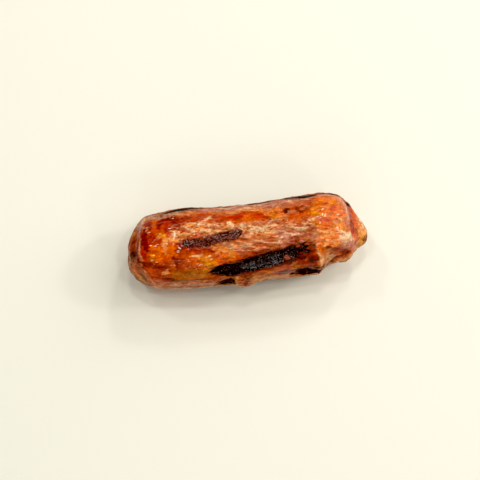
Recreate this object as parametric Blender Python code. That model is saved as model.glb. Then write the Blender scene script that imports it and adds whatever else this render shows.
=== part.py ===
"""One grilled sausage link, lying on the small flat that it has settled on.

The link runs along X, its plain rounded end at -X and its pinched, tied end at +X.
Everything on its skin is placed by two measures: how far along the link it is from the
rounded end, and the angle round the link from the top, positive towards +Y.
"""

import math

import bmesh
import bpy
import numpy as np
from mathutils import Vector, noise

MM = 0.001

# Driving sizes of the link
LENGTH = 108.0 * MM
HALF_WIDTH = 18.1 * MM
HEIGHT_SHARE = 0.96
BOW = 2.4 * MM
SETTLE = 1.3 * MM

# The two ends: how long each dome is, and how square its shoulder is
PLAIN_DOME = 13 * MM
PLAIN_SQUARENESS = 2.2
TIED_DOME = 19 * MM
TIED_SQUARENESS = 1.78
TIED_PINCH_SHARE = 0.36
TIED_PINCH_LENGTH = 8.5 * MM
PLAIN_END_SHARE = 0.88
PLAIN_TAPER = 28 * MM
PLAIN_TIP_DROP = 1.4 * MM
TIED_TIP_DROP = 2.9 * MM
TIP_DROP_LENGTH = 11 * MM

# Mesh: faces round the link, rings along it, and how much closer the rings lie at the ends
FACES_ROUND = 72
RINGS = 72
END_CROWDING = 0.28
PROFILE_POINTS = 800

# Casing relief, as height of the form and its sizes round and along the link
LUMP_HEIGHT = 0.55 * MM
LUMP_SIZE = 15 * MM
WRINKLE_HEIGHT = 0.34 * MM
WRINKLE_ROUND = 4.2 * MM
WRINKLE_ALONG = 22 * MM
CRINKLE_HEIGHT = 0.22 * MM
CRINKLE_SIZE = 5.5 * MM

# Grill marks: how deep the bars pressed in, and how far the skin swells beside them
MARK_DEPTH = 0.65 * MM
MARK_EDGE = 1.3 * MM
MARK_LIP = 0.22 * MM

CASING_RED_BROWN = (0.42, 0.088, 0.018, 1.0)
CHAR_BLACK = (0.013, 0.009, 0.008, 1.0)

# Each grill mark as its half width and its path in (millimetres along, degrees round)
GRILL_MARKS = {
    "short_top": (1.8, [(25.5, -1), (29, -1), (32.5, -3), (36, -3), (39, 1), (42, 5), (46, 8), (51, 9)]),
    "long_front": (
        3.1,
        [(37, -49), (44, -50), (48.5, -47), (53, -43), (63, -41), (68, -35), (73, -31), (79, -30)],
    ),
    "low_front": (2.3, [(72.5, -80), (78, -80), (84.5, -82)]),
    "nick_front": (1.8, [(40.5, -81), (43.5, -86)]),
    "back_left": (2.6, [(15, 69), (24, 71), (35, 75), (42, 80)]),
    "back_right": (2.2, [(46, 82), (58.5, 72), (75, 74), (81, 77), (87, 68), (92, 67), (99, 74)]),
    "under_back": (2.7, [(22.5, 126), (43.5, 121), (64.5, 117), (86.5, 112)]),
    "under_middle": (2.9, [(18.5, 168), (40.5, 163), (64.5, 158), (88.5, 154)]),
    "under_front": (2.6, [(26.5, -126), (48.5, -129), (70.5, -133), (90.5, -137)]),
}

# Folds of the casing, as (half width, height) in millimetres and the path
FOLDS = {
    "plain_cap_ridge": (
        1.0,
        0.6,
        [
            (9, 78), (8.6, 37), (7, 19), (6, 0), (5.8, -15), (6.9, -24), (6.1, -36), (8, -46),
            (10, -63), (12, -95),
        ],
    ),
    "plain_cap_groove": (
        1.3,
        -0.5,
        [(6.4, 60), (5.8, 34), (4.2, 14), (3.4, -8), (3.9, -32), (5.4, -55), (7.5, -80)],
    ),
    "plain_end_pleat": (1.0, -0.45, [(6.5, -110), (10.5, -118), (15.5, -121)]),
    "tied_end_crease": (
        1.2,
        -0.8,
        [(100, 74), (101.5, 52), (102, 33), (102.1, 6), (101.2, -17), (100.4, -27)],
    ),
    "tied_end_shoulder": (1.5, 0.4, [(97, 56), (98.8, 44), (99.5, 30), (99.4, 8)]),
    "rib": (1.5, 0.85, [(82.6, -22), (83.8, -31), (84.3, -42), (85.2, -60), (86, -78), (85.2, -100)]),
    "brow": (1.1, 0.7, [(86.5, -28), (89, -32), (92, -39), (95, -47), (97.5, -50)]),
    "brow_crease": (0.9, -0.7, [(88, -37), (91, -46), (93, -52), (95.5, -57), (98, -56)]),
    "lip_slit": (0.9, -0.8, [(91, -74), (93.5, -69), (96, -68), (99, -61)]),
    "lip": (1.2, 0.7, [(90.5, -86), (94, -81), (97, -76), (100, -71)]),
    "lip_under_groove": (1.4, -0.7, [(89.5, -99), (95, -96), (100.5, -92)]),
    "burst_groove": (1.0, -1.2, [(44.8, -70), (45.3, -84), (46, -102)]),
    "burst_ridge": (1.0, 0.5, [(46.8, -72), (47.4, -82), (47.8, -94)]),
    "upper_skin_fold": (1.0, 0.35, [(18.5, 52), (28.5, 47), (40.5, 50), (54.5, 46), (68.5, 49)]),
    "upper_skin_valley": (1.2, -0.35, [(22.5, 40), (36.5, 38), (50.5, 41)]),
    "front_skin_fold": (1.0, 0.35, [(10.5, -66), (22.5, -72), (32.5, -69)]),
    "under_skin_fold": (1.2, 0.4, [(50.5, -150), (64.5, -154), (78.5, -149)]),
}

# Swellings and hollows: along, round, half length, half width, height, in millimetres and degrees
SWELLS = {
    "plain_corner": (5.5, 60, 8.0, 13.0, -1.8),
    "notch_deep": (92.2, -90, 4.7, 15.0, -3.5),
    "notch_upper": (90.6, -57, 3.4, 5.5, -1.5),
    "shoulder_bulge": (97.6, -31, 3.6, 3.8, 0.9),
    "burst_bump": (52.0, -91, 4.2, 7.0, 1.9),
    "behind_burst": (60.5, -96, 4.5, 6.5, -0.6),
    "bruise": (77.5, 32, 4.4, 1.9, -0.45),
    "upper_blister": (37.5, 35, 4.0, 1.6, 0.45),
    "right_blister": (84.0, 11, 4.6, 1.8, 0.5),
    "middle_blister": (62.0, -10, 6.5, 2.0, 0.4),
    "left_blister": (17.8, 2, 3.0, 7.0, 0.4),
    "waist": (60.0, 8, 16.0, 10.0, -0.35),
    "under_bulge": (34.5, 165, 12.0, 8.0, 0.3),
}
NUB_LENGTH = 5.2 * MM
NUB_SWELL = 1.1 * MM


def clear_scene():
    for old in list(bpy.data.objects):
        bpy.data.objects.remove(old, do_unlink=True)


def smoothstep(value, low, high):
    t = np.clip((value - low) / (high - low), 0.0, 1.0)
    return t * t * (3.0 - 2.0 * t)


def girth(along):
    """Half width of the link at a distance from its rounded end."""
    taper = PLAIN_END_SHARE + (1.0 - PLAIN_END_SHARE) * smoothstep(along, 0.0, PLAIN_TAPER)
    into_plain = np.clip((PLAIN_DOME - along) / PLAIN_DOME, 0.0, 1.0)
    into_tied = np.clip((along - LENGTH + TIED_DOME) / TIED_DOME, 0.0, 1.0)
    plain = (1.0 - into_plain**PLAIN_SQUARENESS) ** (1.0 / PLAIN_SQUARENESS)
    tied = (1.0 - into_tied**TIED_SQUARENESS) ** (1.0 / TIED_SQUARENESS)
    pinch = 1.0 - TIED_PINCH_SHARE * smoothstep(along, LENGTH - TIED_PINCH_LENGTH, LENGTH)
    return HALF_WIDTH * taper * plain * tied * pinch


def ring_places(shares):
    """Distance along the link for shares of the way over its outline, crowded at the ends."""
    turn = np.linspace(0.0, math.pi, PROFILE_POINTS)
    along = LENGTH * (1.0 - np.cos(turn)) / 2.0
    steps = np.hypot(np.diff(along), np.diff(girth(along)))
    way = np.concatenate([[0.0], np.cumsum(steps)])
    crowded = shares - END_CROWDING * np.sin(2.0 * math.pi * shares) / (2.0 * math.pi)
    return np.interp(crowded * way[-1], way, along)


def centre_line(along):
    """Sideways place of the link's middle: a slight bow, and two tips that lean to the front."""
    bow = -BOW * np.sin(math.pi * along / LENGTH)
    plain_tip = PLAIN_TIP_DROP * smoothstep(along, TIP_DROP_LENGTH, 0.0)
    return bow - plain_tip - TIED_TIP_DROP * smoothstep(along, LENGTH - TIP_DROP_LENGTH, LENGTH)


def path_distance(along, angle, radius, path):
    """Distance over the skin from each vertex to a path of (millimetres, degrees) points."""
    nearest = np.full(along.shape, 1.0)
    for (start_mm, start_deg), (end_mm, end_deg) in zip(path, path[1:]):
        turn = np.radians((end_deg - start_deg + 180.0) % 360.0 - 180.0)
        step_along = (end_mm - start_mm) * MM
        from_start = along - start_mm * MM
        swing = (angle - math.radians(start_deg) + math.pi) % (2.0 * math.pi) - math.pi
        step_round = radius * turn
        length_squared = step_along**2 + step_round**2
        share = np.clip((from_start * step_along + radius * swing * step_round) / length_squared, 0.0, 1.0)
        gap = np.hypot(from_start - share * step_along, radius * swing - share * step_round)
        nearest = np.minimum(nearest, gap)
    return nearest


def mark_relief(along, angle, radius):
    """The troughs of the grill marks with their swollen lips, and the nearest mark's strength."""
    relief = np.zeros(along.shape)
    strength = np.zeros(along.shape)
    for half_width, path in GRILL_MARKS.values():
        gap = path_distance(along, angle, radius, path) - half_width * MM
        inside = 1.0 - smoothstep(gap, -MARK_EDGE / 2.0, MARK_EDGE / 2.0)
        lip = np.exp(-(((gap - MARK_EDGE) / MARK_EDGE) ** 2))
        relief = np.minimum(relief, -MARK_DEPTH * inside)
        relief = relief + MARK_LIP * lip * (1.0 - inside)
        strength = np.maximum(strength, inside)
    return relief, strength


def fold_relief(along, angle, radius):
    relief = np.zeros(along.shape)
    for half_width, height, path in FOLDS.values():
        gap = path_distance(along, angle, radius, path)
        relief += height * MM * np.exp(-((gap / (half_width * MM)) ** 2))
    return relief


def swell_relief(along, angle, radius):
    relief = np.zeros(along.shape)
    for place_mm, place_deg, half_length, half_width, height in SWELLS.values():
        swing = (angle - math.radians(place_deg) + math.pi) % (2.0 * math.pi) - math.pi
        reach = ((along / MM - place_mm) / half_length) ** 2 + (radius * swing / MM / half_width) ** 2
        relief += height * MM * np.exp(-reach)
    return relief


def casing_relief(points):
    """Broad lumps, wrinkles drawn out along the link, and a finer crinkle."""
    relief = np.zeros(len(points))
    for i, (x, y, z) in enumerate(points):
        lump = noise.noise(Vector((x, y, z)) / LUMP_SIZE)
        ridge = noise.noise(Vector((x / WRINKLE_ALONG, y / WRINKLE_ROUND, z / WRINKLE_ROUND)))
        crinkle = noise.noise(Vector((x / 2.0, y, z)) / CRINKLE_SIZE + Vector((7.0, 3.0, 5.0)))
        relief[i] = LUMP_HEIGHT * lump + CRINKLE_HEIGHT * crinkle
        relief[i] += WRINKLE_HEIGHT * (0.5 - 2.0 * abs(ridge))
    return relief


def shape_link(mesh):
    """Turns a unit sphere, whose poles lie on Z, into the link. Returns each vertex's char strength."""
    bm = bmesh.new()
    bmesh.ops.create_uvsphere(bm, u_segments=FACES_ROUND, v_segments=RINGS, radius=1.0)
    sphere = np.array([v.co for v in bm.verts])
    from_pole = np.arccos(np.clip(-sphere[:, 2], -1.0, 1.0)) / math.pi
    angle = np.arctan2(sphere[:, 0], sphere[:, 1])
    along = ring_places(from_pole)
    radius = girth(along)

    points = np.column_stack(
        [along, centre_line(along) + radius * np.sin(angle), HEIGHT_SHARE * radius * np.cos(angle)]
    )
    for vert, point in zip(bm.verts, points):
        vert.co = point
    bm.normal_update()
    normals = np.array([v.normal for v in bm.verts])

    marks, strength = mark_relief(along, angle, radius)
    relief = marks + fold_relief(along, angle, radius) + swell_relief(along, angle, radius)
    relief += casing_relief(points)
    relief += NUB_SWELL * smoothstep(along, LENGTH - NUB_LENGTH, LENGTH)
    points += normals * relief[:, None]

    points[:, 2] = np.maximum(points[:, 2] - points[:, 2].min() - SETTLE, 0.0)
    middle = (points.min(axis=0) + points.max(axis=0)) / 2.0
    points[:, :2] -= middle[:2]
    for vert, point in zip(bm.verts, points):
        vert.co = point
    bm.to_mesh(mesh)
    bm.free()
    return strength


def skin_material(name, colour, roughness):
    material = bpy.data.materials.new(name)
    material.use_nodes = True
    shader = material.node_tree.nodes["Principled BSDF"]
    shader.inputs["Base Color"].default_value = colour
    shader.inputs["Roughness"].default_value = roughness
    shader.inputs["Metallic"].default_value = 0.0
    return material


def main():
    clear_scene()
    collection = bpy.data.collections.new("grilled_sausage_link")
    bpy.context.scene.collection.children.link(collection)
    mesh = bpy.data.meshes.new("sausage")
    strength = shape_link(mesh)
    mesh.shade_smooth()
    mesh.materials.append(skin_material("browned_casing", CASING_RED_BROWN, 0.35))
    mesh.materials.append(skin_material("charred_casing", CHAR_BLACK, 0.8))
    for face in mesh.polygons:
        face.material_index = int(np.mean([strength[i] for i in face.vertices]) > 0.5)
    collection.objects.link(bpy.data.objects.new("sausage", mesh))


main()
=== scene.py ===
import math

import bpy
import numpy as np
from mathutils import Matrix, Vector, noise


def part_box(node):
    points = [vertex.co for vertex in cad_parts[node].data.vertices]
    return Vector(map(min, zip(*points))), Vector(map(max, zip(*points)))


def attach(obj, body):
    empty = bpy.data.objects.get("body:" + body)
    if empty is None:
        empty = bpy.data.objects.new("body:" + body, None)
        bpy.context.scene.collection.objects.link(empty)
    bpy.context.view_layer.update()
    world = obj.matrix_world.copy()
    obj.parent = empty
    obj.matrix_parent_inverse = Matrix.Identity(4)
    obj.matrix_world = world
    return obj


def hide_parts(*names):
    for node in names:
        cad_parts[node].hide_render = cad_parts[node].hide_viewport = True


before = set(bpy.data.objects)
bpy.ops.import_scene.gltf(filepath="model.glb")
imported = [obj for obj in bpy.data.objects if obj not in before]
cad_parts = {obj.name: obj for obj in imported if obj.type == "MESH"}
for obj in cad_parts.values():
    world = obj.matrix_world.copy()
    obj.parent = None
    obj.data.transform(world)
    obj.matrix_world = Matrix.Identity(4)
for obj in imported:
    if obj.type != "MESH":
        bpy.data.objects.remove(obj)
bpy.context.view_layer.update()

# One grilled sausage link. Places on its skin are given as (millimetres from the rounded end,
# degrees round from the top, positive towards the back), the same way the solid is laid out.
# A grain is given as its share, its size along and round in millimetres, and its seed.
mm = 0.001
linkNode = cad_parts["sausage"]


def hexToLinear(code):
    # sRGB hex to the linear colour that the shader works in
    parts = [int(code[i:i + 2], 16) / 255 for i in (1, 3, 5)]
    return [c / 12.92 if c <= 0.04045 else ((c + 0.055) / 1.055) ** 2.4 for c in parts] + [1.0]


def addNode(tree, kind, settings=None, links=None, output=0):
    # adds a shader node, and gives back one of its outputs
    node = tree.nodes.new("ShaderNode" + kind)
    for name, value in (settings or {}).items():
        if isinstance(name, str) and hasattr(node, name):
            setattr(node, name, value)
        else:
            node.inputs[name].default_value = value
    for name, source in (links or {}).items():
        tree.links.new(source, node.inputs[name])
    return node.outputs[output]


def newMaterial(name):
    material = bpy.data.materials.new(name)
    material.use_nodes = True
    shader = material.node_tree.nodes["Principled BSDF"]
    return material, material.node_tree, shader


def onlySelect(piece):
    bpy.ops.object.select_all(action="DESELECT")
    piece.select_set(True)
    bpy.context.view_layer.objects.active = piece


def applyModifier(piece, kind, **settings):
    onlySelect(piece)
    bpy.ops.object.modifier_add(type=kind)
    modifier = piece.modifiers[-1]
    for name, value in settings.items():
        setattr(modifier, name, value)
    bpy.ops.object.modifier_apply(modifier=modifier.name)


def smoothRamp(value, low, high):
    t = np.clip((value - low) / (high - low), 0.0, 1.0)
    return t * t * (3.0 - 2.0 * t)


def rgbOf(code):
    return np.array(hexToLinear(code)[:3])


# The studio: pale table, soft key from the right, a little behind, camera almost overhead
studio = {
    "floorSize": 6.0,
    "floorTint": "#eff0e6",
    "floorRoughness": 0.55,
    "floorSheen": 0.25,
    "worldTint": "#fffdf8",
    "worldStrength": 0.265,
    "exposure": -0.04,
    "blackPoint": (0.016, 0.022, 0.026),  # taken off every colour, for the photograph's deep browns
    "lightTint": "#fffaf2",
    # name, power, size, place: a broad window, the room's bounce, and lamps for the glints
    "lamps": [
        ("windowLight", 19.0, 2.2, (1.38, 0.55, 1.05)),
        ("bounceLight", 3.8, 2.0, (-0.5, -1.5, 0.75)),
        ("lampBack", 1.5, 0.11, (0.45, 0.80, 0.85)),
        ("lampRight", 1.6, 0.12, (0.95, 0.15, 0.80)),
        ("lampTop", 1.2, 0.10, (0.05, 0.35, 1.05)),
        ("lampLeft", 1.0, 0.10, (-0.45, 0.60, 0.90)),
        ("lampFront", 0.3, 0.08, (-0.20, -0.90, 0.70)),
        ("lampFrontRight", 0.6, 0.09, (0.55, -0.75, 0.75)),
        ("lampOver", 1.0, 0.10, (0.35, -0.05, 1.15)),
        ("lampOverLeft", 1.0, 0.10, (-0.25, 0.15, 1.15)),
    ],
    "lens": 85.0,
    "sensor": 36.0,
    "framePixels": 480,
    "frameWidth": 217.3 * mm,  # what the frame's pixels span at the link's mid height
    "midHeight": 17.0 * mm,
    "elevation": 80.0,
    "turn": -6.7,
    "linkInFrame": (247.5, 243.7),  # pixel of the frame where the link's middle sits
}


def makeStudio():
    bpy.ops.object.select_all(action="DESELECT")
    bpy.ops.mesh.primitive_plane_add(size=studio["floorSize"])
    floor = bpy.context.object
    floor.name = "paleTable"
    material, tree, shader = newMaterial("glazedPaleTable")
    shader.inputs["Base Color"].default_value = hexToLinear(studio["floorTint"])
    shader.inputs["Roughness"].default_value = studio["floorRoughness"]
    shader.inputs["Specular IOR Level"].default_value = studio["floorSheen"]
    floor.data.materials.append(material)

    world = bpy.data.worlds.new("softRoom")
    bpy.context.scene.world = world
    world.use_nodes = True
    background = world.node_tree.nodes["Background"]
    background.inputs["Color"].default_value = hexToLinear(studio["worldTint"])
    background.inputs["Strength"].default_value = studio["worldStrength"]

    for name, power, size, place in studio["lamps"]:
        bpy.ops.object.light_add(type="AREA", location=place)
        lamp = bpy.context.object
        lamp.name = name
        lamp.data.energy = power
        lamp.data.size = size
        lamp.data.color = hexToLinear(studio["lightTint"])[:3]
        lamp.rotation_euler = Vector(place).to_track_quat("Z", "Y").to_euler()

    # the view transform keeps the pale table near white and the browns unshifted
    view = bpy.context.scene.view_settings
    view.view_transform = "Standard"
    view.look = "Medium High Contrast"
    view.exposure = studio["exposure"]
    view.use_curve_mapping = True
    view.curve_mapping.black_level = studio["blackPoint"]
    print("studio ready")


def makeCamera():
    turn, rise = math.radians(studio["turn"]), math.radians(studio["elevation"])
    right = Vector((math.cos(turn), math.sin(turn), 0.0))
    ahead = Vector((-math.sin(turn), math.cos(turn), 0.0))
    up = Vector((0, 0, 1))
    backward = ahead * -math.cos(rise) + up * math.sin(rise)
    upward = ahead * math.sin(rise) + up * math.cos(rise)
    distance = studio["frameWidth"] * studio["lens"] / studio["sensor"]
    pixel = studio["frameWidth"] / studio["framePixels"]
    across, down = (place - studio["framePixels"] / 2 for place in studio["linkInFrame"])
    aim = up * studio["midHeight"] - right * across * pixel + upward * down * pixel
    bpy.ops.object.camera_add(location=aim + backward * distance)
    camera = bpy.context.object
    camera.name = "photoCamera"
    camera.rotation_euler = backward.to_track_quat("Z", "Y").to_euler()
    camera.data.lens = studio["lens"]
    camera.data.sensor_width = studio["sensor"]
    camera.data.clip_start = 0.01
    bpy.context.scene.camera = camera
    print("camera ready")


# The casing's mesh: a sphere drawn out to the link's length, wrapped on the solid and smoothed
casing = {
    "facesRound": 88,
    "rings": 68,
    "topCrowding": 0.3,  # how much closer the faces lie along the top, where most of the detail is
    "endCrowding": 0.3,  # how much closer the rings lie at the two ends
    "girth": 18.0 * mm,
    "plainDome": 14.0 * mm,
    "tiedDome": 20.0 * mm,
    "squash": 0.96,  # a little lower than it is wide
    "smoothLevels": 2,
    "outlineSteps": 600,
    "sliceStep": 1.5,  # the link's middle line is found slice by slice, in millimetres
    "sliceReach": 1.6,
}


def cageGirth(along, length):
    intoPlain = np.clip((casing["plainDome"] - along) / casing["plainDome"], 0.0, 1.0)
    intoTied = np.clip((along - length + casing["tiedDome"]) / casing["tiedDome"], 0.0, 1.0)
    return casing["girth"] * np.sqrt(1.0 - intoPlain ** 2) * np.sqrt(1.0 - intoTied ** 2)


def makeCage():
    low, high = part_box("sausage")
    length = high.x - low.x
    bpy.ops.object.select_all(action="DESELECT")
    bpy.ops.mesh.primitive_uv_sphere_add(segments=casing["facesRound"], ring_count=casing["rings"])
    link = bpy.context.object
    link.name = "grilledCasing"
    ball = np.array([v.co for v in link.data.vertices])
    share = np.arccos(np.clip(-ball[:, 2], -1.0, 1.0)) / math.pi
    angle = np.arctan2(ball[:, 0], ball[:, 1])
    angle -= casing["topCrowding"] * np.sin(angle)

    # even steps over the outline from one pole to the other
    sample = length * (1.0 - np.cos(np.linspace(0.0, math.pi, casing["outlineSteps"]))) / 2.0
    steps = np.hypot(np.diff(sample), np.diff(cageGirth(sample, length)))
    way = np.concatenate([[0.0], np.cumsum(steps)])
    crowded = share - casing["endCrowding"] * np.sin(2.0 * math.pi * share) / (2.0 * math.pi)
    along = np.interp(crowded * way[-1], way, sample)
    girth = cageGirth(along, length)
    middle = (low + high) / 2.0
    place = np.column_stack([
        low.x + along,
        middle.y + girth * np.sin(angle),
        middle.z + girth * np.cos(angle) * casing["squash"],
    ])
    link.data.vertices.foreach_set("co", place.ravel())
    link.data.update()

    applyModifier(link, "SHRINKWRAP", target=linkNode, wrap_method="NEAREST_SURFACEPOINT")
    applyModifier(link, "SUBSURF", levels=casing["smoothLevels"], render_levels=casing["smoothLevels"])
    onlySelect(link)
    bpy.ops.object.shade_smooth()
    print("cage wrapped:", len(link.data.polygons), "faces")
    return link


class Skin:
    # where every point of the casing is, measured along and round the link, and what is painted there
    def __init__(self, mesh):
        self.mesh = mesh
        count = len(mesh.vertices)
        self.points, self.normals = np.empty((2, count, 3))
        mesh.vertices.foreach_get("co", self.points.ravel())
        mesh.vertices.foreach_get("normal", self.normals.ravel())
        x = self.points[:, 0]
        self.along = (x - x.min()) / mm
        stations = np.arange(0.0, self.along.max() + 1.0, casing["sliceStep"])
        middles = []
        for station in stations:
            near = self.points[np.abs(self.along - station) < casing["sliceReach"]]
            middles.append((near[:, 1:].min(axis=0) + near[:, 1:].max(axis=0)) / 2.0)
        middles = np.array(middles)
        across = self.points[:, 1] - np.interp(self.along, stations, middles[:, 0])
        upward = self.points[:, 2] - np.interp(self.along, stations, middles[:, 1])
        self.angle = np.arctan2(across, upward)
        self.radius = np.hypot(across, upward) / mm
        self.height = np.zeros(count)
        self.strayAlong = self.strayRound = 0.0  # what makes drawn paths wander
        self.tint = self.charTint = self.ashTint = None
        self.masks = {}

    def swing(self, degrees):
        turn = (self.angle - math.radians(degrees) + math.pi) % (2.0 * math.pi) - math.pi
        return self.radius * turn

    def legs(self, path):
        # for each leg of a path, how far along it every point lies, and the gap in millimetres
        for leg in zip(path, path[1:]):
            (startAlong, startDeg), (endAlong, endDeg) = leg[0][:2], leg[1][:2]
            turn = math.radians((endDeg - startDeg + 180.0) % 360.0 - 180.0)
            stepAlong, stepRound = endAlong - startAlong, self.radius * turn
            fromStart = self.along + self.strayAlong - startAlong
            swing = self.swing(startDeg) + self.strayRound
            share = (fromStart * stepAlong + swing * stepRound) / (stepAlong ** 2 + stepRound ** 2)
            share = np.clip(share, 0.0, 1.0)
            yield leg, share, np.hypot(fromStart - share * stepAlong, swing - share * stepRound)

    def gapToPath(self, path):
        if len(path) == 1:  # a dot is a very short path
            path = [path[0], (path[0][0] + 0.1, path[0][1])]
        return np.min([gap for _, _, gap in self.legs(path)], axis=0)

    def insideOf(self, path):
        # millimetres inside the edge of a print whose half width changes along its path
        return np.max([start[2] + (end[2] - start[2]) * share - gap
                       for (start, end), share, gap in self.legs(path)], axis=0)

    def grain(self, alongSize, roundSize, seed=0.0, skew=0.0):
        # smooth noise from -1 to 1, its lumps alongSize by roundSize millimetres
        scale = np.array([1.0 / alongSize, 1.0 / roundSize, 1.0 / roundSize]) / mm
        shift = np.array([seed * 7.3, seed * 3.1, seed * 5.7])
        slanted = self.points + np.outer(self.points[:, 0], [0.0, skew, 0.0])
        return np.array([noise.noise(place) for place in (slanted * scale + shift).tolist()])

    def blend(self, layers):
        # several grains added up: share, size along, size round, seed
        return sum(share * self.grain(*layer) for share, *layer in layers)

    def zone(self, alongLow, alongHigh, degLow, degHigh, soft=4.0):
        # 1 inside a stretch of the skin, falling to 0 over its soft edge
        middle, half = (degLow + degHigh) / 2.0, math.radians(degHigh - degLow) / 2.0
        inRound = 1.0 - smoothRamp(np.abs(self.swing(middle)) - half * self.radius, -soft / 2, soft / 2)
        inAlong = smoothRamp(self.along, alongLow - soft / 2, alongLow + soft / 2)
        inAlong = inAlong * (1.0 - smoothRamp(self.along, alongHigh - soft / 2, alongHigh + soft / 2))
        return inRound * inAlong

    def paint(self, name, value):
        old = self.masks.get(name, np.zeros(self.along.shape))
        self.masks[name] = 1.0 - (1.0 - old) * (1.0 - np.clip(value, 0.0, 1.0))

    def store(self):
        places = self.points + self.normals * (self.height * mm)[:, None]
        places[:, 2] = np.maximum(places[:, 2], 0.0)  # the underside rests on the table
        self.mesh.vertices.foreach_set("co", places.ravel())
        for name, value in self.masks.items():
            layer = self.mesh.attributes.new(name, "FLOAT", "POINT")
            layer.data.foreach_set("value", value.astype(np.float32))
        for name, value in (("tone", self.tint), ("charTint", self.charTint), ("ashTint", self.ashTint)):
            layer = self.mesh.attributes.new(name, "FLOAT_COLOR", "POINT")
            opaque = np.column_stack([value, np.ones(len(value))]).astype(np.float32)
            layer.data.foreach_set("color", opaque.ravel())
        self.mesh.update()


# Grill marks: char tint, ash tint, amount of ash, how far the heat scorched the skin beside it from
# 0 to 1, then the path of the print with its half widths
grillMarks = {
    "shortTop": ("#50221d", "#b8a09c", 0.26, 0.5, [
        (26.4, -2.4, 1.4), (28, -2.5, 1.9), (32, -2.6, 2), (36, -2.5, 2.1), (39, 0.5, 1.8), (42, 2.2, 2.1),
        (45, 4.5, 2.3), (48, 7.5, 2.3), (50, 9.8, 1.9)]),
    "longFront": ("#231d20", "#aeaeb4", -0.02, 0.9, [
        (36.8, -50, 0.5), (38.2, -49.5, 1.5), (40, -49, 2.4), (42, -48.5, 2.9), (45, -50, 3.3),
        (47, -48.5, 3.4), (50, -44.5, 3.2), (53, -43.5, 3.7), (60, -42, 3.6), (63, -40, 3.7),
        (66, -38, 3.5), (69, -36.5, 3.1), (72, -35, 3.4), (75, -33, 3.6), (78, -31, 2.8)]),
    "lowFront": ("#160a0e", "#8a6468", 0.1, 0.9, [
        (73.6, -78, 2), (76, -75, 3.4), (80, -78, 3.8), (83.4, -79, 3.4)]),
    "nickFront": ("#2a1a12", "#7d6a58", 0.25, 0.5, [
        (40.2, -82, 1.2), (42.4, -79, 3.2), (44.6, -75, 2)]),
    "backLeft": ("#28231d", "#75737a", 0.06, 0.7, [
        (14.5, 62, 0.4), (20, 67, 1.7), (27, 70, 2.8), (33, 71, 2.8), (38, 75, 1.4), (44, 78, 1),
        (50, 80, 0.8)]),
    "backRight": ("#28231d", "#75737a", 0.06, 0.7, [
        (52, 80, 0.8), (58.5, 79, 0.8), (66, 77, 0.9), (75, 70, 1.8), (80, 68, 2.7), (85, 65, 2.3),
        (88, 66, 1.2), (92, 68, 1), (97, 70, 1.1), (100.4, 63, 0.9)]),
    "underBack": ("#0d0908", "#6e6d76", 0.0, 1.0, [
        (22, 126, 1), (30, 124, 2.6), (64, 117, 2.9), (82, 113, 2.4), (88, 111, 1)]),
    "underMiddle": ("#0d0908", "#6e6d76", 0.0, 1.0, [
        (17, 168, 0.8), (26, 166, 2.8), (62, 158, 3.1), (84, 155, 2.6), (91, 153, 1)]),
    "underFront": ("#0d0908", "#6e6d76", 0.0, 1.0, [
        (25, -126, 0.8), (34, -127, 2.5), (68, -133, 2.8), (86, -136, 2.2), (92, -137, 0.8)]),
}
markFinish = {
    "waver": 0.5,  # how far the print's edge wanders, in millimetres
    "waverGrain": [(1.2, 5.5, 2.2, 1), (0.8, 1.8, 0.8, 2), (0.5, 0.8, 0.5, 8)],
    "crustHeight": 0.26,
    "crustGrain": [(1.0, 0.9, 0.9, 3), (0.6, 1.9, 1.5, 4)],
    "sink": 0.15,  # the bar pressed the skin in, and a low rim stands beside it
    "edge": (-0.35, 0.45),  # the char fades in over these millimetres across the print's edge
    "rim": (0.05, 0.7, 0.5),  # height, how far outside the edge, and width
    "bareSpot": ((70.2, -40), 1.5),  # bare skin left in the long mark, and its half width
    # the long mark's right end and the low mark break up, where the bars hardly touched:
    # the stretch, how broken it is, and the grain of the breaks
    "brokenPlaces": [((73, 82, -48, -14, 5.0), 0.5, (2.2, 1.7, 1.0, 5)),
                     ((71, 86, -92, -64, 4.0), 0.1, (2.0, 1.9, 0.9, 9))],
    "breakDepth": 2.6,
    # ash lies thickest on the middle of the long mark
    "longMark": (34, 84, -64, -16, 1.0),
    "ashyPlaces": [(0.4, (50, 57, -54, -40, 3.0)), (0.27, (57, 74, -56, -34, 4.0))],
    "ashyStart": (0.06, (40, 46, -58, -46, 3.0)),
    "ashGrain": (0.35, 4.0, 1.6, 10),
    "unevenGrain": [(0.9, 3.4, 1.2, 40), (1.1, 0.9, 0.7, 41)],
    "unevenLimits": (0.2, 2.4),
    "scorchReach": 1.3,
    "scorchTint": "#4f1005",
    "hazeReach": 2.6,
    "hazeTint": "#8f2006",
    "scorchGrain": [(0.9, 3.6, 1.0, 6), (0.7, 1.1, 0.6, 7)],
}


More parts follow.
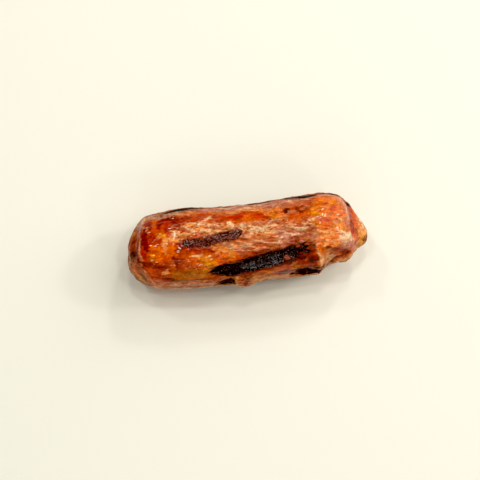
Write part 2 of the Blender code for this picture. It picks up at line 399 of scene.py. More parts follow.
def pressMarks(skin):
    finish = markFinish
    nothing = np.zeros(skin.along.shape)
    inside, ash, skin.heat = nothing - 50.0, nothing.copy(), nothing.copy()  # far from any mark at first
    skin.charTint, skin.ashTint = np.zeros((2, len(skin.along), 3))
    for charTint, ashTint, amount, heat, path in grillMarks.values():
        here = skin.insideOf(path)
        nearest = here > inside
        inside = np.maximum(inside, here)
        ash[nearest], skin.heat[nearest] = amount, heat
        skin.charTint[nearest], skin.ashTint[nearest] = rgbOf(charTint), rgbOf(ashTint)
    inside = inside + finish["waver"] * skin.blend(finish["waverGrain"])
    spot, halfWidth = finish["bareSpot"]
    inside = np.minimum(inside, 1.5 * (skin.gapToPath([spot]) - halfWidth))
    for place, broken, breaks in finish["brokenPlaces"]:
        share = skin.zone(*place) * (broken + skin.blend([breaks]))
        inside = inside - finish["breakDepth"] * np.clip(share, 0.0, 1.0)
    skin.inside = inside
    charred = smoothRamp(inside, *finish["edge"])
    skin.height += (finish["crustHeight"] * skin.blend(finish["crustGrain"]) - finish["sink"]) * charred
    height, outside, width = finish["rim"]
    skin.height += height * np.exp(-((inside + outside) / width) ** 2)
    skin.charTint *= np.clip(1.0 + skin.blend(finish["unevenGrain"]), *finish["unevenLimits"])[:, None]
    skin.paint("char", inside / 3.0 + 0.5)  # half at the edge, full 1.5 mm inside it
    ashy = np.max([share * skin.zone(*place) for share, place in finish["ashyPlaces"]], axis=0)
    ash = np.where(skin.zone(*finish["longMark"]) > 0.5, ash + ashy, ash)
    share, place = finish["ashyStart"]
    ash = np.maximum(ash, share * skin.zone(*place))
    skin.paint("ash", ash + skin.blend([finish["ashGrain"]]) * (ash > 0.15))
    print("grill marks pressed")


def scorchSkin(skin):
    # the skin beside a mark is scorched dark, and browned further out where the bar was hottest
    finish = markFinish
    broken = skin.blend(finish["scorchGrain"])
    haze = 0.5 * smoothRamp(skin.inside + 1.9 * broken, -finish["hazeReach"], -0.4)
    scorch = 0.95 * smoothRamp(skin.inside + 1.3 * broken, -finish["scorchReach"], -0.1)
    for tint, share in ((finish["hazeTint"], haze), (finish["scorchTint"], scorch)):
        skin.tint += (rgbOf(tint) - skin.tint) * (share * skin.heat)[:, None]
    print("skin scorched beside the marks")


# Folds and creases: half width and height in millimetres, and the path
skinFolds = {
    "capRidge": (0.40, 0.26, [
        (9, 78), (8.6, 37), (7, 19), (6, 0), (5.8, -15), (6.9, -24), (6.1, -36), (7.4, -42)]),
    "capRidgeFront": (0.35, 0.18, [(7.2, -39), (8.6, -50), (10, -60), (11.8, -76)]),
    "capRidgeInner": (0.35, 0.22, [(0.8, -62), (3.5, -60), (5.0, -66), (6.2, -74), (8.4, -84)]),
    "capGrooveFront": (0.5, -0.3, [(5.6, -30), (5.4, -48), (7.4, -62), (9.4, -90)]),
    "tiedCrease": (0.7, -0.5, [(100, 74), (101.5, 52), (102, 33), (102.1, 6), (101.4, -12), (100.4, -27)]),
    "tiedCreaseInner": (0.35, -0.4, [(100.2, 40), (100.4, 22), (100.5, 4), (99.6, -14)]),
    "browCrease": (0.5, -0.7, [(88, -36), (91, -45), (93, -51), (95.5, -57), (98, -56)]),
    "lipSlit": (0.7, -1.3, [(91, -74), (93.5, -69), (96, -68), (99, -60)]),
    "lipEdge": (0.5, 0.35, [(91, -81), (94, -76), (97, -73), (100, -66)]),
    "ribEdge": (0.5, 0.4, [(83.6, -26), (84.4, -42), (85.4, -60), (86.2, -78), (85.4, -98)]),
    "ribGroove": (0.5, -0.4, [(85.8, -30), (86.8, -46), (87.6, -60), (88, -76)]),
    "burstCleft": (0.45, -0.7, [(44.8, -68), (45.3, -82), (46, -98)]),
    "burstRidge": (0.45, 0.35, [(46.6, -70), (47.2, -80), (47.8, -92)]),
    "loopGroove": (0.55, -0.34, [(56.8, -2), (61, -3), (66.5, -5), (67.2, -9), (65.4, -12.5)]),
    "paleRidge": (0.6, 0.26, [(49.5, -9), (54, -8), (57, -9), (61, -8.5), (64.5, -10)]),
    "lowerRidge": (0.55, 0.22, [(51, -13), (56, -13), (62, -16), (66, -18)]),
    "upperRidge": (0.5, 0.22, [(29, 28.5), (33.5, 28), (37, 35), (39.5, 38)]),
    "sideRidge": (0.45, 0.2, [(28.4, -21), (33, -22)]),
    "rightStreak": (0.55, 0.25, [(80.8, 10), (83.5, 12), (87, 11)]),
    "rightGroove": (0.4, -0.3, [(85.6, -4), (88, -8), (90.4, -11)]),
    "flankFoldLow": (0.5, 0.25, [(12, -72), (20, -76), (28, -73), (36, -72)]),
    "flankFoldLower": (0.5, -0.3, [(14, -80), (23, -84), (32, -80)]),
    "pleatBack": (0.45, -0.35, [(107.4, 100), (103.4, 104), (99.4, 98)]),
    "pleatUnderBack": (0.5, -0.4, [(107.2, 132), (103, 136), (98.6, 140)]),
    "pleatUnder": (0.5, -0.45, [(107.6, 176), (104, 178), (99.6, 172)]),
    "pleatUnderFront": (0.5, -0.4, [(107.2, -136), (103, -142), (98.8, -138)]),
    "backFold": (0.5, 0.25, [(22, 96), (36, 93), (52, 97), (70, 93)]),
    "backGroove": (0.5, -0.3, [(30, 102), (46, 105), (60, 101)]),
}

# Swells and hollows: reach along and round, height, all in millimetres, then the place
skinSwells = {
    "bulge": (3.8, 3.4, 0.95, (97.6, -34)),
    "hollow": (2.6, 3.4, -0.95, (90.4, -52)),
    "underBulge": (2.4, 2.0, -0.5, (95.4, -52)),
    "lip": (4.4, 1.5, 0.75, (95.6, -80)),
    "waist": (2.2, 3.6, -0.6, (88.8, -84)),
    "nub": (2.4, 4.6, 0.85, (106.4, -66)),
    "nubNotch": (1.3, 3.4, -0.8, (102.6, -80)),
    "endFace": (2.4, 6.0, 0.35, (104.0, 26)),
    "shoulderTop": (5.0, 6.0, 0.4, (96.0, 30)),
    "burstKnob": (2.8, 2.4, 0.5, (50.4, -82)),
    "burstLip": (1.3, 3.4, 0.4, (46.9, -80)),
    "nickHollow": (1.8, 3.2, -0.6, (42.6, -80)),
    "ribSwell": (1.1, 6.0, 0.55, (84.6, -74)),
    "markCSink": (4.2, 3.6, -0.25, (79.0, -76)),
    "capPucker": (1.2, 3.0, -0.4, (3.6, -10)),
    "capKnuckle": (1.6, 2.6, 0.4, (4.2, -30)),
    "capKnuckleTop": (1.6, 2.6, 0.35, (4.2, 34)),
    "shoulderBack": (6.0, 5.0, 0.7, (98.5, 74)),
    "endTop": (3.0, 4.0, 0.45, (103.0, 66)),
    "nubLow": (2.4, 3.0, 0.5, (105.2, -83)),
    "capFrontSwell": (3.0, 4.0, 0.6, (1.0, -56)),
    "backLeftSwell": (10.0, 6.0, 0.7, (28, 80)),
    "backRightSwell": (8.0, 6.0, 0.3, (78, 78)),
    "backWaist": (9.0, 6.0, -0.55, (58, 80)),
    "lowWaist": (8.0, 5.0, -0.5, (63, -93)),
    "lowWaistLeft": (6.0, 4.0, -0.3, (35, -93)),
}

# Blisters that catch the light, as (along, degrees); each stands a little proud, with a painted glint on top
blisters = {
    "reach": (0.75, 0.34),  # along and round, in millimetres
    "sizes": (0.7, 0.3),  # middling size, and how much they differ
    "wander": (0.4, 0.9, 0.9, 26),
    "height": 0.12,
    "lean": 0.5,  # they lie a little askew of the link
    "edge": (0.1, 1.6),  # full height within the first share of their reach, none beyond the second
    # the painted glint on each blister's top: where it shows, its colour and how strong
    "glintEdge": (0.35, 0.9),  # pale from the one share of their height to the other
    "tint": "#ffe6c4",
    "glintShare": 0.7,
    "places": [
        (9.2, 36), (11, 24), (12.5, 5), (13.5, -2), (12.2, -16), (13.6, -1), (10.4, 30), (9.8, 27),
        (23.2, -14), (12.3, -16), (13.3, -19), (11.2, -23), (13.3, -27), (16.3, -31), (15.4, -45.5),
        (16.8, -46), (23.4, -12), (13.6, 8), (12.7, 5.4), (16, 17), (21.9, 28), (21.9, 25), (10.2, 34.5),
        (20.6, 34), (22.4, 44), (30.2, -41), (35.6, -24), (37.2, -28), (29, 29.5), (31.5, 29), (34.1, 32),
        (36.5, 36), (38.2, 39), (46.6, 24), (47.6, 20.5), (43.4, 16), (49, 17), (52.6, 20), (60.2, 9),
        (61.4, 7), (58.8, 8), (65.8, 2.5), (53.8, -7), (60, -8), (63.6, -15.5), (67.8, -13), (72, 7),
        (76.8, 7.6), (76.4, 0), (78.2, -1.6), (70.4, 10), (83.4, 12.6), (85.6, 13.4), (94.8, 12),
        (94.2, 14), (95.6, 5), (87.8, -31), (89, -32), (90.6, -16.5), (93.6, -18), (91.4, 30), (88.6, 24),
        (93.2, 33), (96.4, 36), (71.4, -15), (74.2, -13), (98.4, -25.5), (36.2, -80), (26, -70), (33, -66),
        (15, -72), (86.8, -57), (25.8, 12), (28, 17), (33.6, 13), (36.4, 9), (40.6, 15), (55.4, 12),
        (63.4, 12), (68.8, 6), (55.8, 17), (74.6, 3), (80.8, 8),
    ],
}

# Wrinkled stretches: along from and to, degrees from and to, strength
wrinkledStretches = {
    "midTop": (42, 84, -26, 20, 1.0),
    "leftTop": (20, 44, 4, 34, 0.9),
    "leftFront": (24, 50, -44, -12, 0.35),
    "rightTop": (80, 99, -24, 36, 0.42),
    "backBand": (22, 84, 42, 62, 0.6),
    "flank": (12, 100, -112, -66, 0.8),
    "backFlank": (12, 100, 62, 120, 0.7),
    "underside": (10, 98, 120, 240, 0.3),
}
paleStretches = {  # the casing blistered pale here: along from and to, degrees from and to, strength
    "left": (21, 48, 7, 27, 0.8),
    "mid": (50, 73, 1, 21, 1.0),
    "low": (49, 69, -20, -3, 0.8),
    "between": (42, 51, -16, -2, 0.5),
    "right": (70, 84, -10, 9, 0.8),
}
casingRelief = {
    "plainShare": 0.12,  # how wrinkled the skin is outside those stretches
    "sharpness": 2.2,
    "wrinkleHeight": 0.36,
    "wrinkleSpacing": 1.25,
    "wrinkleLength": 8.0,
    "wrinkleSlant": 0.22,  # the wrinkles run a little askew of the link
    "crinkleHeight": 0.20,
    "crinkleSize": 1.3,
    "lineHeight": 0.14,
    "lineSpacing": 1.1,
    "lineWidth": 0.15,  # as a share of the noise that draws the lines
    "darkLines": [(5.0, 17), (2.6, 18)],  # length in millimetres and seed
    "lightLines": [(4.0, 19), (2.0, 20)],
    "lumpHeight": 0.17,
    "lumpSize": 2.3,
    "poreHeight": 0.05,
    "poreSize": 0.8,
    "stretchFade": 6.0,  # the wrinkled and the pale stretches fade out over this many millimetres
    "paleFade": 5.0,
    "charClear": (0.42, 0.58),  # of the char mask: no wrinkles beyond it
    "patchReach": (9.0, 6.0, 14),  # of the patches with more crinkles: along, round and seed
    "patchEdge": (-0.35, 0.35),
    # crests and light lines are painted pale, partly dry casing and partly a painted highlight; creases and
    # dark lines are painted dark, partly fat and juice and partly painted shade
    "crestEdge": (0.03, 0.20),  # millimetres of height, and of depth, where the masks start and are full
    "creaseEdge": (0.04, 0.22),
    "lineCrest": 0.9,
    "lineCrease": 0.8,
    "crinkledShare": 0.45,
}


# How the folds and swells wander, and how the folds fade
foldFinish = {
    "strayAlong": [(0.9, 5.0, 5.0, 21), (0.3, 1.6, 1.6, 22)],
    "strayRound": [(0.9, 5.0, 5.0, 23), (0.3, 1.6, 1.6, 24)],
    "fading": (0.9, 4.0, 4.0, 25),  # folds fade out and come back along their way
    "usualShare": 0.62,
    "leastShare": 0.2,
    # how strongly sunken folds take the painted shade, and raised folds the painted highlight
    "creasePaint": 1.6,  # mask strength for a millimetre of depth, and of height
    "crestPaint": 2.0,
    "swellCore": 0.15,  # a swell is full height within this share of its reach
    "swellEdge": 1.25,
}


def foldSkin(skin):
    finish = foldFinish
    skin.strayAlong, skin.strayRound = skin.blend(finish["strayAlong"]), skin.blend(finish["strayRound"])
    fading = np.clip(finish["usualShare"] + skin.blend([finish["fading"]]), finish["leastShare"], 1.0)
    for halfWidth, height, path in skinFolds.values():
        fold = np.exp(-(skin.gapToPath(path) / halfWidth) ** 2) * fading
        skin.height += height * fold
        # sunken folds are painted darker, partly juice and partly painted shade; raised folds paler, partly
        # dry casing and partly a painted highlight
        if height < 0:
            skin.paint("creaseAndShade", fold * min(1.0, -height * finish["creasePaint"]))
        else:
            skin.paint("crestAndHighlight", fold * min(1.0, height * finish["crestPaint"]))
    for alongReach, roundReach, height, (along, degrees) in skinSwells.values():
        gap = np.hypot((skin.along + skin.strayAlong - along) / alongReach,
                       (skin.swing(degrees) + skin.strayRound) / roundReach)
        skin.height += height * (1.0 - smoothRamp(gap, finish["swellCore"], finish["swellEdge"]))
    skin.strayAlong = skin.strayRound = 0.0
    print("folds made")


def raiseBlisters(skin):
    alongReach, roundReach = blisters["reach"]
    middling, spread = blisters["sizes"]
    proud = np.zeros(skin.along.shape)
    wander = skin.blend([blisters["wander"]])
    for i, (along, degrees) in enumerate(blisters["places"]):
        size = middling + spread * math.sin(i * 2.4)  # no two the same
        swing = skin.swing(degrees)
        askew = skin.along - along - blisters["lean"] * swing
        gap = np.hypot(askew / (alongReach * size), swing / (roundReach * size))
        proud = np.maximum(proud, 1.0 - smoothRamp(gap + wander, *blisters["edge"]))
    skin.height += blisters["height"] * proud
    # where each blister's top takes its painted glint
    skin.blistered = smoothRamp(proud, *blisters["glintEdge"])
    print("blisters raised:", len(blisters["places"]))


def strongest(skin, stretches, soft):
    return np.max([strength * skin.zone(*place, soft) for *place, strength in stretches.values()], axis=0)


def creaseLines(skin, relief, lines):
    # thin lines where the noise passes through nothing
    slant, spacing = relief["wrinkleSlant"], relief["lineSpacing"]
    gaps = [np.abs(skin.grain(length, spacing, seed, slant)) for length, seed in lines]
    return 1.0 - smoothRamp(np.min(gaps, axis=0), 0.03, relief["lineWidth"])


def wrinkleSkin(skin):
    relief = casingRelief
    plain = relief["plainShare"]
    stretched = plain + (1.0 - plain) * strongest(skin, wrinkledStretches, relief["stretchFade"])
    pale = strongest(skin, paleStretches, relief["paleFade"])
    bare = 1.0 - smoothRamp(skin.masks["char"], *relief["charClear"])
    length, spacing, slant = relief["wrinkleLength"], relief["wrinkleSpacing"], relief["wrinkleSlant"]
    sharp, small = relief["sharpness"], relief["crinkleSize"]
    lump, pore = relief["lumpSize"], relief["poreSize"]
    ridges = 1.0 - sharp * np.abs(skin.grain(length, spacing * 1.6, 11, slant))
    ridges += 0.6 * (1.0 - sharp * np.abs(skin.grain(length * 0.45, spacing, 12, slant)))
    crinkle = 1.0 - sharp * np.abs(skin.grain(small * 1.5, small, 13))
    patchy = smoothRamp(skin.grain(*relief["patchReach"]), *relief["patchEdge"])
    fine = relief["wrinkleHeight"] * (ridges - 0.8) * stretched
    fine += relief["crinkleHeight"] * (crinkle - 0.5) * (0.35 + 0.65 * patchy) * (0.4 + 0.6 * stretched)
    lumps = relief["lumpHeight"] * skin.grain(lump * 1.3, lump, 16)
    pores = relief["poreHeight"] * skin.grain(pore, pore, 15)
    dark = creaseLines(skin, relief, relief["darkLines"]) * stretched
    light = creaseLines(skin, relief, relief["lightLines"]) * np.maximum(pale, 0.25 * stretched)
    skin.height += (light - dark) * relief["lineHeight"] * (0.4 + 0.6 * pale) * bare
    skin.height += (fine + lumps + pores) * bare
    # the crests are painted paler, partly dry casing and partly a painted highlight; the creases darker,
    # partly fat and juice and partly painted shade
    crestAndHighlight, creaseAndShade = smoothRamp(fine, *relief["crestEdge"]), smoothRamp(-fine, *relief["creaseEdge"])
    skin.paint("crestAndHighlight", crestAndHighlight * bare * (0.15 + 0.85 * pale))
    skin.paint("creaseAndShade", creaseAndShade * bare * (0.3 + 0.25 * stretched + 0.4 * pale))
    skin.paint("crestAndHighlight", relief["lineCrest"] * light * bare)
    skin.paint("creaseAndShade", (relief["lineCrease"] - 0.25 * pale) * dark * bare)
    skin.paint("crinkled", np.maximum(pale, relief["crinkledShare"] * stretched) * bare)
    print("skin wrinkled")


# Tones of browned casing, each with how dull it is, from 0, shining with fat, to 1, dry and matt
tonePalette = {
    "blackRed": ("#4a0b04", 0.1), "deepRed": ("#8c0e02", 0.0), "brightRed": ("#b82404", 0.0),
    "rust": ("#a8380c", 0.2), "orangeRed": ("#c03e08", 0.0), "orange": ("#dc5e08", 0.0),
    "glow": ("#ee730e", 0.0), "amber": ("#ec9216", 0.0), "ochre": ("#b96c14", 0.1),
    "peach": ("#f5a05e", 0.1), "tan": ("#e19b52", 0.2), "cream": ("#fbd9ab", 0.1),
    "salmon": ("#e58848", 0.3), "pink": ("#d07c58", 0.4), "rose": ("#b4603f", 0.4),
    "mauve": ("#a4664d", 0.8), "dryTan": ("#b67c4e", 0.8), "dryBrown": ("#8d5529", 0.8),
    "beige": ("#cb9f80", 0.7), "palest": ("#f0c6a0", 0.4), "darkBrown": ("#45180a", 0.3),
    "dryPink": ("#c48469", 0.7), "paleTan": ("#d49a6a", 0.6),
    "olive": ("#7b5a2c", 0.5), "ashGrey": ("#6d5c4b", 0.9), "rosy": ("#c98c7a", 0.4),
    "plum": ("#74322f", 0.4),
}

# Strokes of each part, laid on in this order: tone, half width in millimetres, strength, then the path
toneStrokes = {
    "broadGrounds": [
        ("glow", 9, 0.85, (90, 34), (93, 10), (90, -14)), ("amber", 6, 0.55, (86, 26), (96, 26), (95, -6)),
        ("ochre", 6, 0.6, (20, -54), (36, -56), (60, -62)),
        ("dryPink", 6.5, 0.95, (8, -92), (20, -88), (40, -88)),
        ("paleTan", 6, 0.85, (46, -88), (64, -86), (78, -96)),
        ("tan", 4.6, 0.7, (86, -48), (88, -74), (90, -96)),
        ("rosy", 2.8, 0.85, (24, 60), (40, 60), (56, 57), (72, 56)),
        ("rosy", 2.8, 0.7, (76, 60), (90, 62), (97, 64)),
        ("mauve", 7, 0.9, (8, 90), (34, 88), (66, 88), (96, 88)),
        ("dryTan", 6, 0.8, (14, 118), (50, 116), (92, 118)),
        ("orange", 3, 0.95, (23, 13), (30, 16), (38, 17), (46, 21)),
        ("salmon", 3.6, 0.85, (52, 16), (58, 11), (66, 8), (71, 4)),
        ("salmon", 2.4, 0.7, (50, -8), (57, -9), (64, -12), (69, -18)),
        ("rosy", 4, 0.7, (71, -8), (77, -13), (83, -14)), ("rose", 1.7, 0.8, (82.5, 48), (81.5, 36)),
    ],
    "roundedCap": [
        ("rust", 4.2, 0.9, (2.5, 70), (3.5, 30), (3.5, 5)),
        ("mauve", 4.2, 0.95, (2.6, -24), (3.2, -50), (5, -80), (7, -100)),
        ("ochre", 1.4, 0.9, (2, 62), (3.4, 45), (4.8, 26)), ("rose", 1.1, 0.8, (6.6, 60), (7.2, 44)),
        ("beige", 1.7, 0.9, (7, 66), (11, 60), (14.5, 60)),
        ("beige", 1.2, 0.7, (0.5, 30), (0.5, -20), (1.4, -60)),
        ("dryTan", 1.1, 0.8, (2.2, -44), (2.6, -66), (5, -84)), ("blackRed", 1, 0.8, (3.2, 24), (4.6, 17)),
        ("blackRed", 1.2, 0.9, (2.6, 0), (3.4, -8), (5, -11)),
        ("darkBrown", 0.8, 0.7, (2.8, -13), (3.2, -18)), ("blackRed", 0.8, 0.9, (6.1, -25)),
        ("blackRed", 0.7, 0.85, (5.2, -61), (5.5, -68)), ("ochre", 1.3, 0.8, (7, -47), (9, -57)),
        # the pale line along the cap ridge is a painted highlight
        ("beige", 0.4, 0.55, (9, 60), (8.5, 34), (7.2, 12), (6, -10), (6.8, -22), (6.4, -36), (8, -45),
         (10, -58)),
    ],
    "underMarksAndBelow": [
        ("plum", 3.4, 0.95, (72, -34), (77, -33), (80.5, -31)),
        ("blackRed", 2.6, 0.9, (74, -44), (79, -46), (82.4, -50)),
        ("plum", 3, 0.85, (74, -72), (79, -70), (84, -70)),
        ("dryBrown", 2.2, 0.9, (40, -74), (43, -76), (44.6, -70)),
        ("dryTan", 16, 0.55, (12, 180), (54, 178), (96, 180)),
        ("mauve", 8, 0.85, (3, 112), (2, 180), (4, -122)),
        ("dryTan", 8, 0.85, (101, 112), (103, 180), (100, -122)),
    ],
    "brownedLeftEnd": [
        ("deepRed", 1.8, 0.95, (10, 43), (11.6, 33)), ("deepRed", 1.7, 0.95, (16.6, 40), (15.4, 32)),
        ("deepRed", 2.8, 1, (19.2, 44), (23.6, 41), (23.4, 35)),
        ("brightRed", 1.9, 0.95, (19.2, 32), (19.8, 22), (20.6, 15)),
        ("deepRed", 1.2, 0.8, (24, 31), (23.6, 23)), ("brightRed", 1.5, 0.7, (26, 30), (26, 36)),
        ("pink", 0.6, 0.8, (10.3, 34.5)), ("orange", 1.2, 0.9, (13.6, 44), (13, 27)),
        ("deepRed", 2, 1, (9, 26), (8.4, 16), (8.8, 5), (9.2, -1)),
        ("brightRed", 1.8, 0.7, (12, 16), (12.4, 6)), ("brightRed", 1.4, 0.9, (7.4, -10), (7.8, -17)),
        ("deepRed", 1.4, 0.95, (7.8, -30), (9.6, -31)),
        ("deepRed", 1.5, 0.9, (12.8, -29), (12.4, -37), (15.2, -37)),
        ("blackRed", 1.2, 0.9, (22.5, -31), (22, -38)), ("rust", 2, 0.7, (24.6, -14), (25, -22), (23, -42)),
        ("rust", 1.6, 0.6, (18.4, -30), (18.2, -44)), ("deepRed", 1.7, 0.9, (15.4, -61), (17, -62)),
        ("blackRed", 1, 0.95, (19.4, -62), (21.8, -64)), ("rust", 1.6, 0.7, (11.6, -56), (18.6, -52)),
        ("darkBrown", 0.5, 0.7, (17, -59.5), (24, -61), (30, -62), (37, -62)),
        ("pink", 1, 0.8, (10.6, -62), (16, -69), (24, -68), (34, -67)),
        ("glow", 2.4, 1, (14.4, -3), (13.2, -12), (13.6, -19)), ("amber", 1.4, 0.7, (16.2, 17), (18, 9)),
        ("amber", 1, 0.8, (11.6, -16), (11.2, -22)), ("orangeRed", 1.5, 0.8, (14.4, 3), (16, 4)),
        ("peach", 1.3, 0.85, (18.2, 6), (17.8, -4), (18.2, -14)),
        ("peach", 1.6, 0.8, (18.6, 7), (21.6, 6), (24.4, 5)), ("glow", 2.8, 0.8, (21, -8), (20.4, -22)),
        ("orangeRed", 1.8, 0.8, (12.6, -46), (13.4, -52)), ("peach", 0.8, 0.7, (15.4, -45.5), (17.2, -46)),
        ("orange", 3, 0.9, (27.8, -22), (30, -34)),
        ("amber", 2.8, 0.85, (34.4, -27), (36.6, -34), (35, -45)),
        ("ochre", 2.8, 0.8, (22, -53), (28, -50), (33, -53)), ("rust", 1.2, 0.6, (24, -43), (25.6, -46)),
    ],
    "backBand": [
        ("deepRed", 2, 0.8, (27, 42), (31, 46)), ("orangeRed", 2.2, 0.95, (32, 47), (35, 42)),
        ("orangeRed", 2.4, 0.9, (42, 33), (44, 40), (50, 40)),
        ("brightRed", 1.7, 0.75, (50.5, 41), (53.4, 38)), ("glow", 1.6, 0.7, (54.6, 33), (57.6, 28)),
        ("orangeRed", 2.2, 0.85, (59.5, 31), (62, 25), (64.4, 20)), ("rust", 1, 0.7, (62.6, 34)),
        ("blackRed", 0.75, 1, (40.5, 42), (40.5, 38.5)), ("ochre", 0.8, 0.8, (38.8, 38), (39.6, 33)),
        ("amber", 1, 0.7, (28, 28), (32, 28)), ("orangeRed", 2.2, 0.85, (67.6, 36), (72.4, 33)),
        ("amber", 1.8, 0.6, (66.4, 27), (69.4, 22)), ("orange", 2.3, 0.9, (71, 17), (74.6, 14), (78, 17)),
        ("brightRed", 1, 0.6, (78.6, 19), (81, 17)), ("olive", 0.8, 0.9, (66.8, 19), (67, 16)),
        ("peach", 1.1, 0.8, (54, 51), (60, 48), (66, 43)),
        ("rose", 1.3, 0.6, (42, 62), (50, 58), (66, 58), (74, 47), (80, 43)),
        ("salmon", 1.3, 0.9, (29, 52), (34, 51.5)), ("beige", 2.2, 0.9, (14, 57), (19, 55), (25, 55)),
        ("darkBrown", 0.6, 0.9, (17.2, 60), (17.7, 52)), ("blackRed", 1.5, 0.9, (72.6, 38), (73.6, 34)),
        ("darkBrown", 1.3, 0.7, (77.4, 37), (78.4, 31)), ("pink", 1.2, 0.9, (74.8, 32), (76.4, 28)),
        ("rust", 1.8, 0.8, (80, 35), (82.6, 30)), ("rust", 1.6, 0.8, (82.6, 47), (82.8, 37)),
        ("orange", 1, 0.7, (74, 23), (79, 22)), ("rosy", 1.7, 0.8, (37, 54), (50, 52), (60, 49), (70, 47)),
        ("rust", 0.7, 0.6, (44, 57), (52, 56), (64, 53)),
    ],
    "crinkledStretches": [
        ("cream", 1.2, 0.55, (29, 19), (30.6, 16)), ("cream", 1, 0.5, (22.6, 14), (24.6, 11), (27.6, 8)),
        ("cream", 1.1, 0.5, (34.8, 20), (35.4, 12)), ("amber", 1.3, 0.7, (25, 8), (27.4, 14)),
        ("amber", 1.5, 0.6, (32.2, 21), (36.8, 26)), ("cream", 1.3, 0.95, (46.8, 25), (47.6, 22)),
        ("cream", 1.1, 0.7, (52.4, 20), (53.4, 18)),
        # a painted glint streak along the upper ridge
        ("cream", 0.45, 0.8, (38.8, 40), (35.4, 32), (32.5, 26)),
        ("peach", 1.3, 0.7, (37, 15), (42, 17), (45.6, 19)), ("cream", 1.8, 0.45, (58.6, 10), (61.4, 8)),
        ("cream", 1.3, 0.4, (65.4, 3), (70, 8)), ("cream", 0.7, 0.5, (51.4, -9), (53.8, -7), (56, -10)),
        ("cream", 0.8, 0.6, (58.6, -7), (61, -8)), ("cream", 0.7, 0.6, (64, -16), (67.6, -14), (68.4, -9)),
        ("cream", 1.1, 0.5, (76.2, 0), (78.8, -2)), ("cream", 0.9, 0.5, (72, 6), (76, 7)),
        ("orange", 0.9, 0.95, (58, 0), (62, -2.5), (66, -5), (66.6, -9), (64.6, -11)),
        ("brightRed", 0.7, 0.5, (56.4, -2), (58, -3)),
    ],
    "betweenMarks": [
        ("peach", 2.2, 0.8, (40, -12), (44, -13)),
        ("amber", 1.7, 0.85, (44.8, -7), (47.6, -10), (46.6, -14)),
        ("glow", 2.8, 0.9, (44.4, -22), (47.4, -22), (46, -29)),
        ("orangeRed", 1.8, 0.9, (50, -15), (52.6, -16), (52, -24)),
        ("orangeRed", 1, 0.8, (56.6, -14), (61, -15)),
        ("brightRed", 1.6, 0.9, (55, -24), (58, -25), (61, -26)),
        ("orange", 1.6, 0.7, (49, -27), (54, -26)), ("brightRed", 1, 0.85, (28.4, -11.5), (32, -12.5)),
        ("deepRed", 0.9, 0.95, (36.8, -14), (38, -16)), ("darkBrown", 0.6, 0.9, (39.6, -7.5)),
        ("orangeRed", 1.4, 0.6, (34, -14), (34, -19)), ("orangeRed", 1.2, 0.8, (51.4, 1), (53, 5)),
        # two painted glint streaks, on the side ridge and just beside it
        ("cream", 0.3, 0.7, (28.6, -20.6), (33, -21.6)), ("cream", 0.6, 0.6, (35.6, -24), (37, -23)),
        ("orange", 1.5, 0.8, (38.4, -24), (41, -33)),
    ],
    "lowFront": [
        ("rust", 1.6, 0.8, (36, -62), (39.4, -65)), ("dryBrown", 1.6, 0.8, (29.6, -88), (32.8, -92)),
        ("palest", 0.8, 0.7, (36.2, -76), (36.4, -90)), ("pink", 1.8, 0.6, (31, -76), (34, -72)),
        ("beige", 2.2, 0.5, (15, -76), (26, -76)), ("rust", 1.6, 0.9, (41, -68), (43.6, -69)),
        ("darkBrown", 1.3, 0.8, (43.2, -72), (42.6, -78)),
        ("tan", 1.1, 0.95, (46.8, -68), (46.8, -80), (47, -94)),
        ("rust", 2.6, 1, (51.4, -60), (51.6, -74), (51, -94)),
        ("darkBrown", 1.3, 0.75, (52.8, -60), (51.8, -70), (51.4, -84)),
        ("blackRed", 0.7, 0.8, (52.8, -61), (54.2, -65)), ("blackRed", 0.7, 0.8, (51.2, -74), (52.6, -84)),
        ("tan", 0.6, 0.8, (49.4, -80), (50, -86)), ("dryBrown", 1.2, 0.8, (52.6, -66), (54.8, -74)),
        ("ochre", 1.3, 0.85, (55.8, -65), (57, -76)), ("beige", 2, 0.5, (61, -80), (62, -92)),
        ("rust", 1.2, 0.8, (49.6, -58), (54, -59)), ("dryBrown", 1.5, 0.5, (60, -66), (63, -70)),
        ("deepRed", 1.4, 0.85, (65.2, -68), (68, -70)), ("orangeRed", 1.2, 0.85, (70.2, -50), (70.6, -61)),
        ("deepRed", 1.1, 0.85, (69.8, -70), (70.8, -76)), ("ochre", 1.4, 0.9, (73.4, -50), (73.6, -60)),
        ("rust", 1, 0.7, (76, -50), (78.8, -54)),
    ],
    "rightOfLongMark": [
        ("deepRed", 1.7, 0.9, (80.2, -36), (80, -48)), ("blackRed", 1.5, 0.95, (81.6, -48), (82.4, -53)),
        ("deepRed", 1.4, 0.85, (82.6, -44), (83, -60)), ("rust", 1.2, 0.8, (80, -57), (83, -62)),
        ("blackRed", 0.9, 0.95, (81, -24), (83.4, -28)), ("orange", 0.6, 0.7, (82.8, -34), (83.4, -38)),
        ("palest", 0.7, 0.6, (86.4, -56), (87.2, -66), (88.6, -84)),
        ("tan", 1, 0.7, (85.2, -72), (86, -92)), ("glow", 1.3, 0.8, (85.6, -30), (86.4, -42)),
        ("rust", 0.7, 0.8, (84.4, -3)), ("blackRed", 0.5, 0.6, (81.2, -1.5)),
        ("rust", 0.6, 0.6, (71, -16), (75, -15)), ("blackRed", 0.5, 0.5, (76, -17), (78, -14)),
        ("pink", 1.2, 0.8, (71, -20), (73, -24)), ("salmon", 1.7, 0.6, (83, -18), (87, -20), (90, -24)),
        ("amber", 1.7, 0.8, (84.4, 28), (86.4, 21)), ("amber", 1, 0.7, (84.6, 5), (86, 2)),
        ("brightRed", 1.5, 0.7, (93.6, 25), (92.2, 18)), ("glow", 1.7, 0.9, (95.4, 30), (97, 16)),
        ("pink", 0.9, 0.5, (87.8, 32), (88.8, 23)), ("salmon", 0.9, 0.9, (90.8, 42), (91.4, 37)),
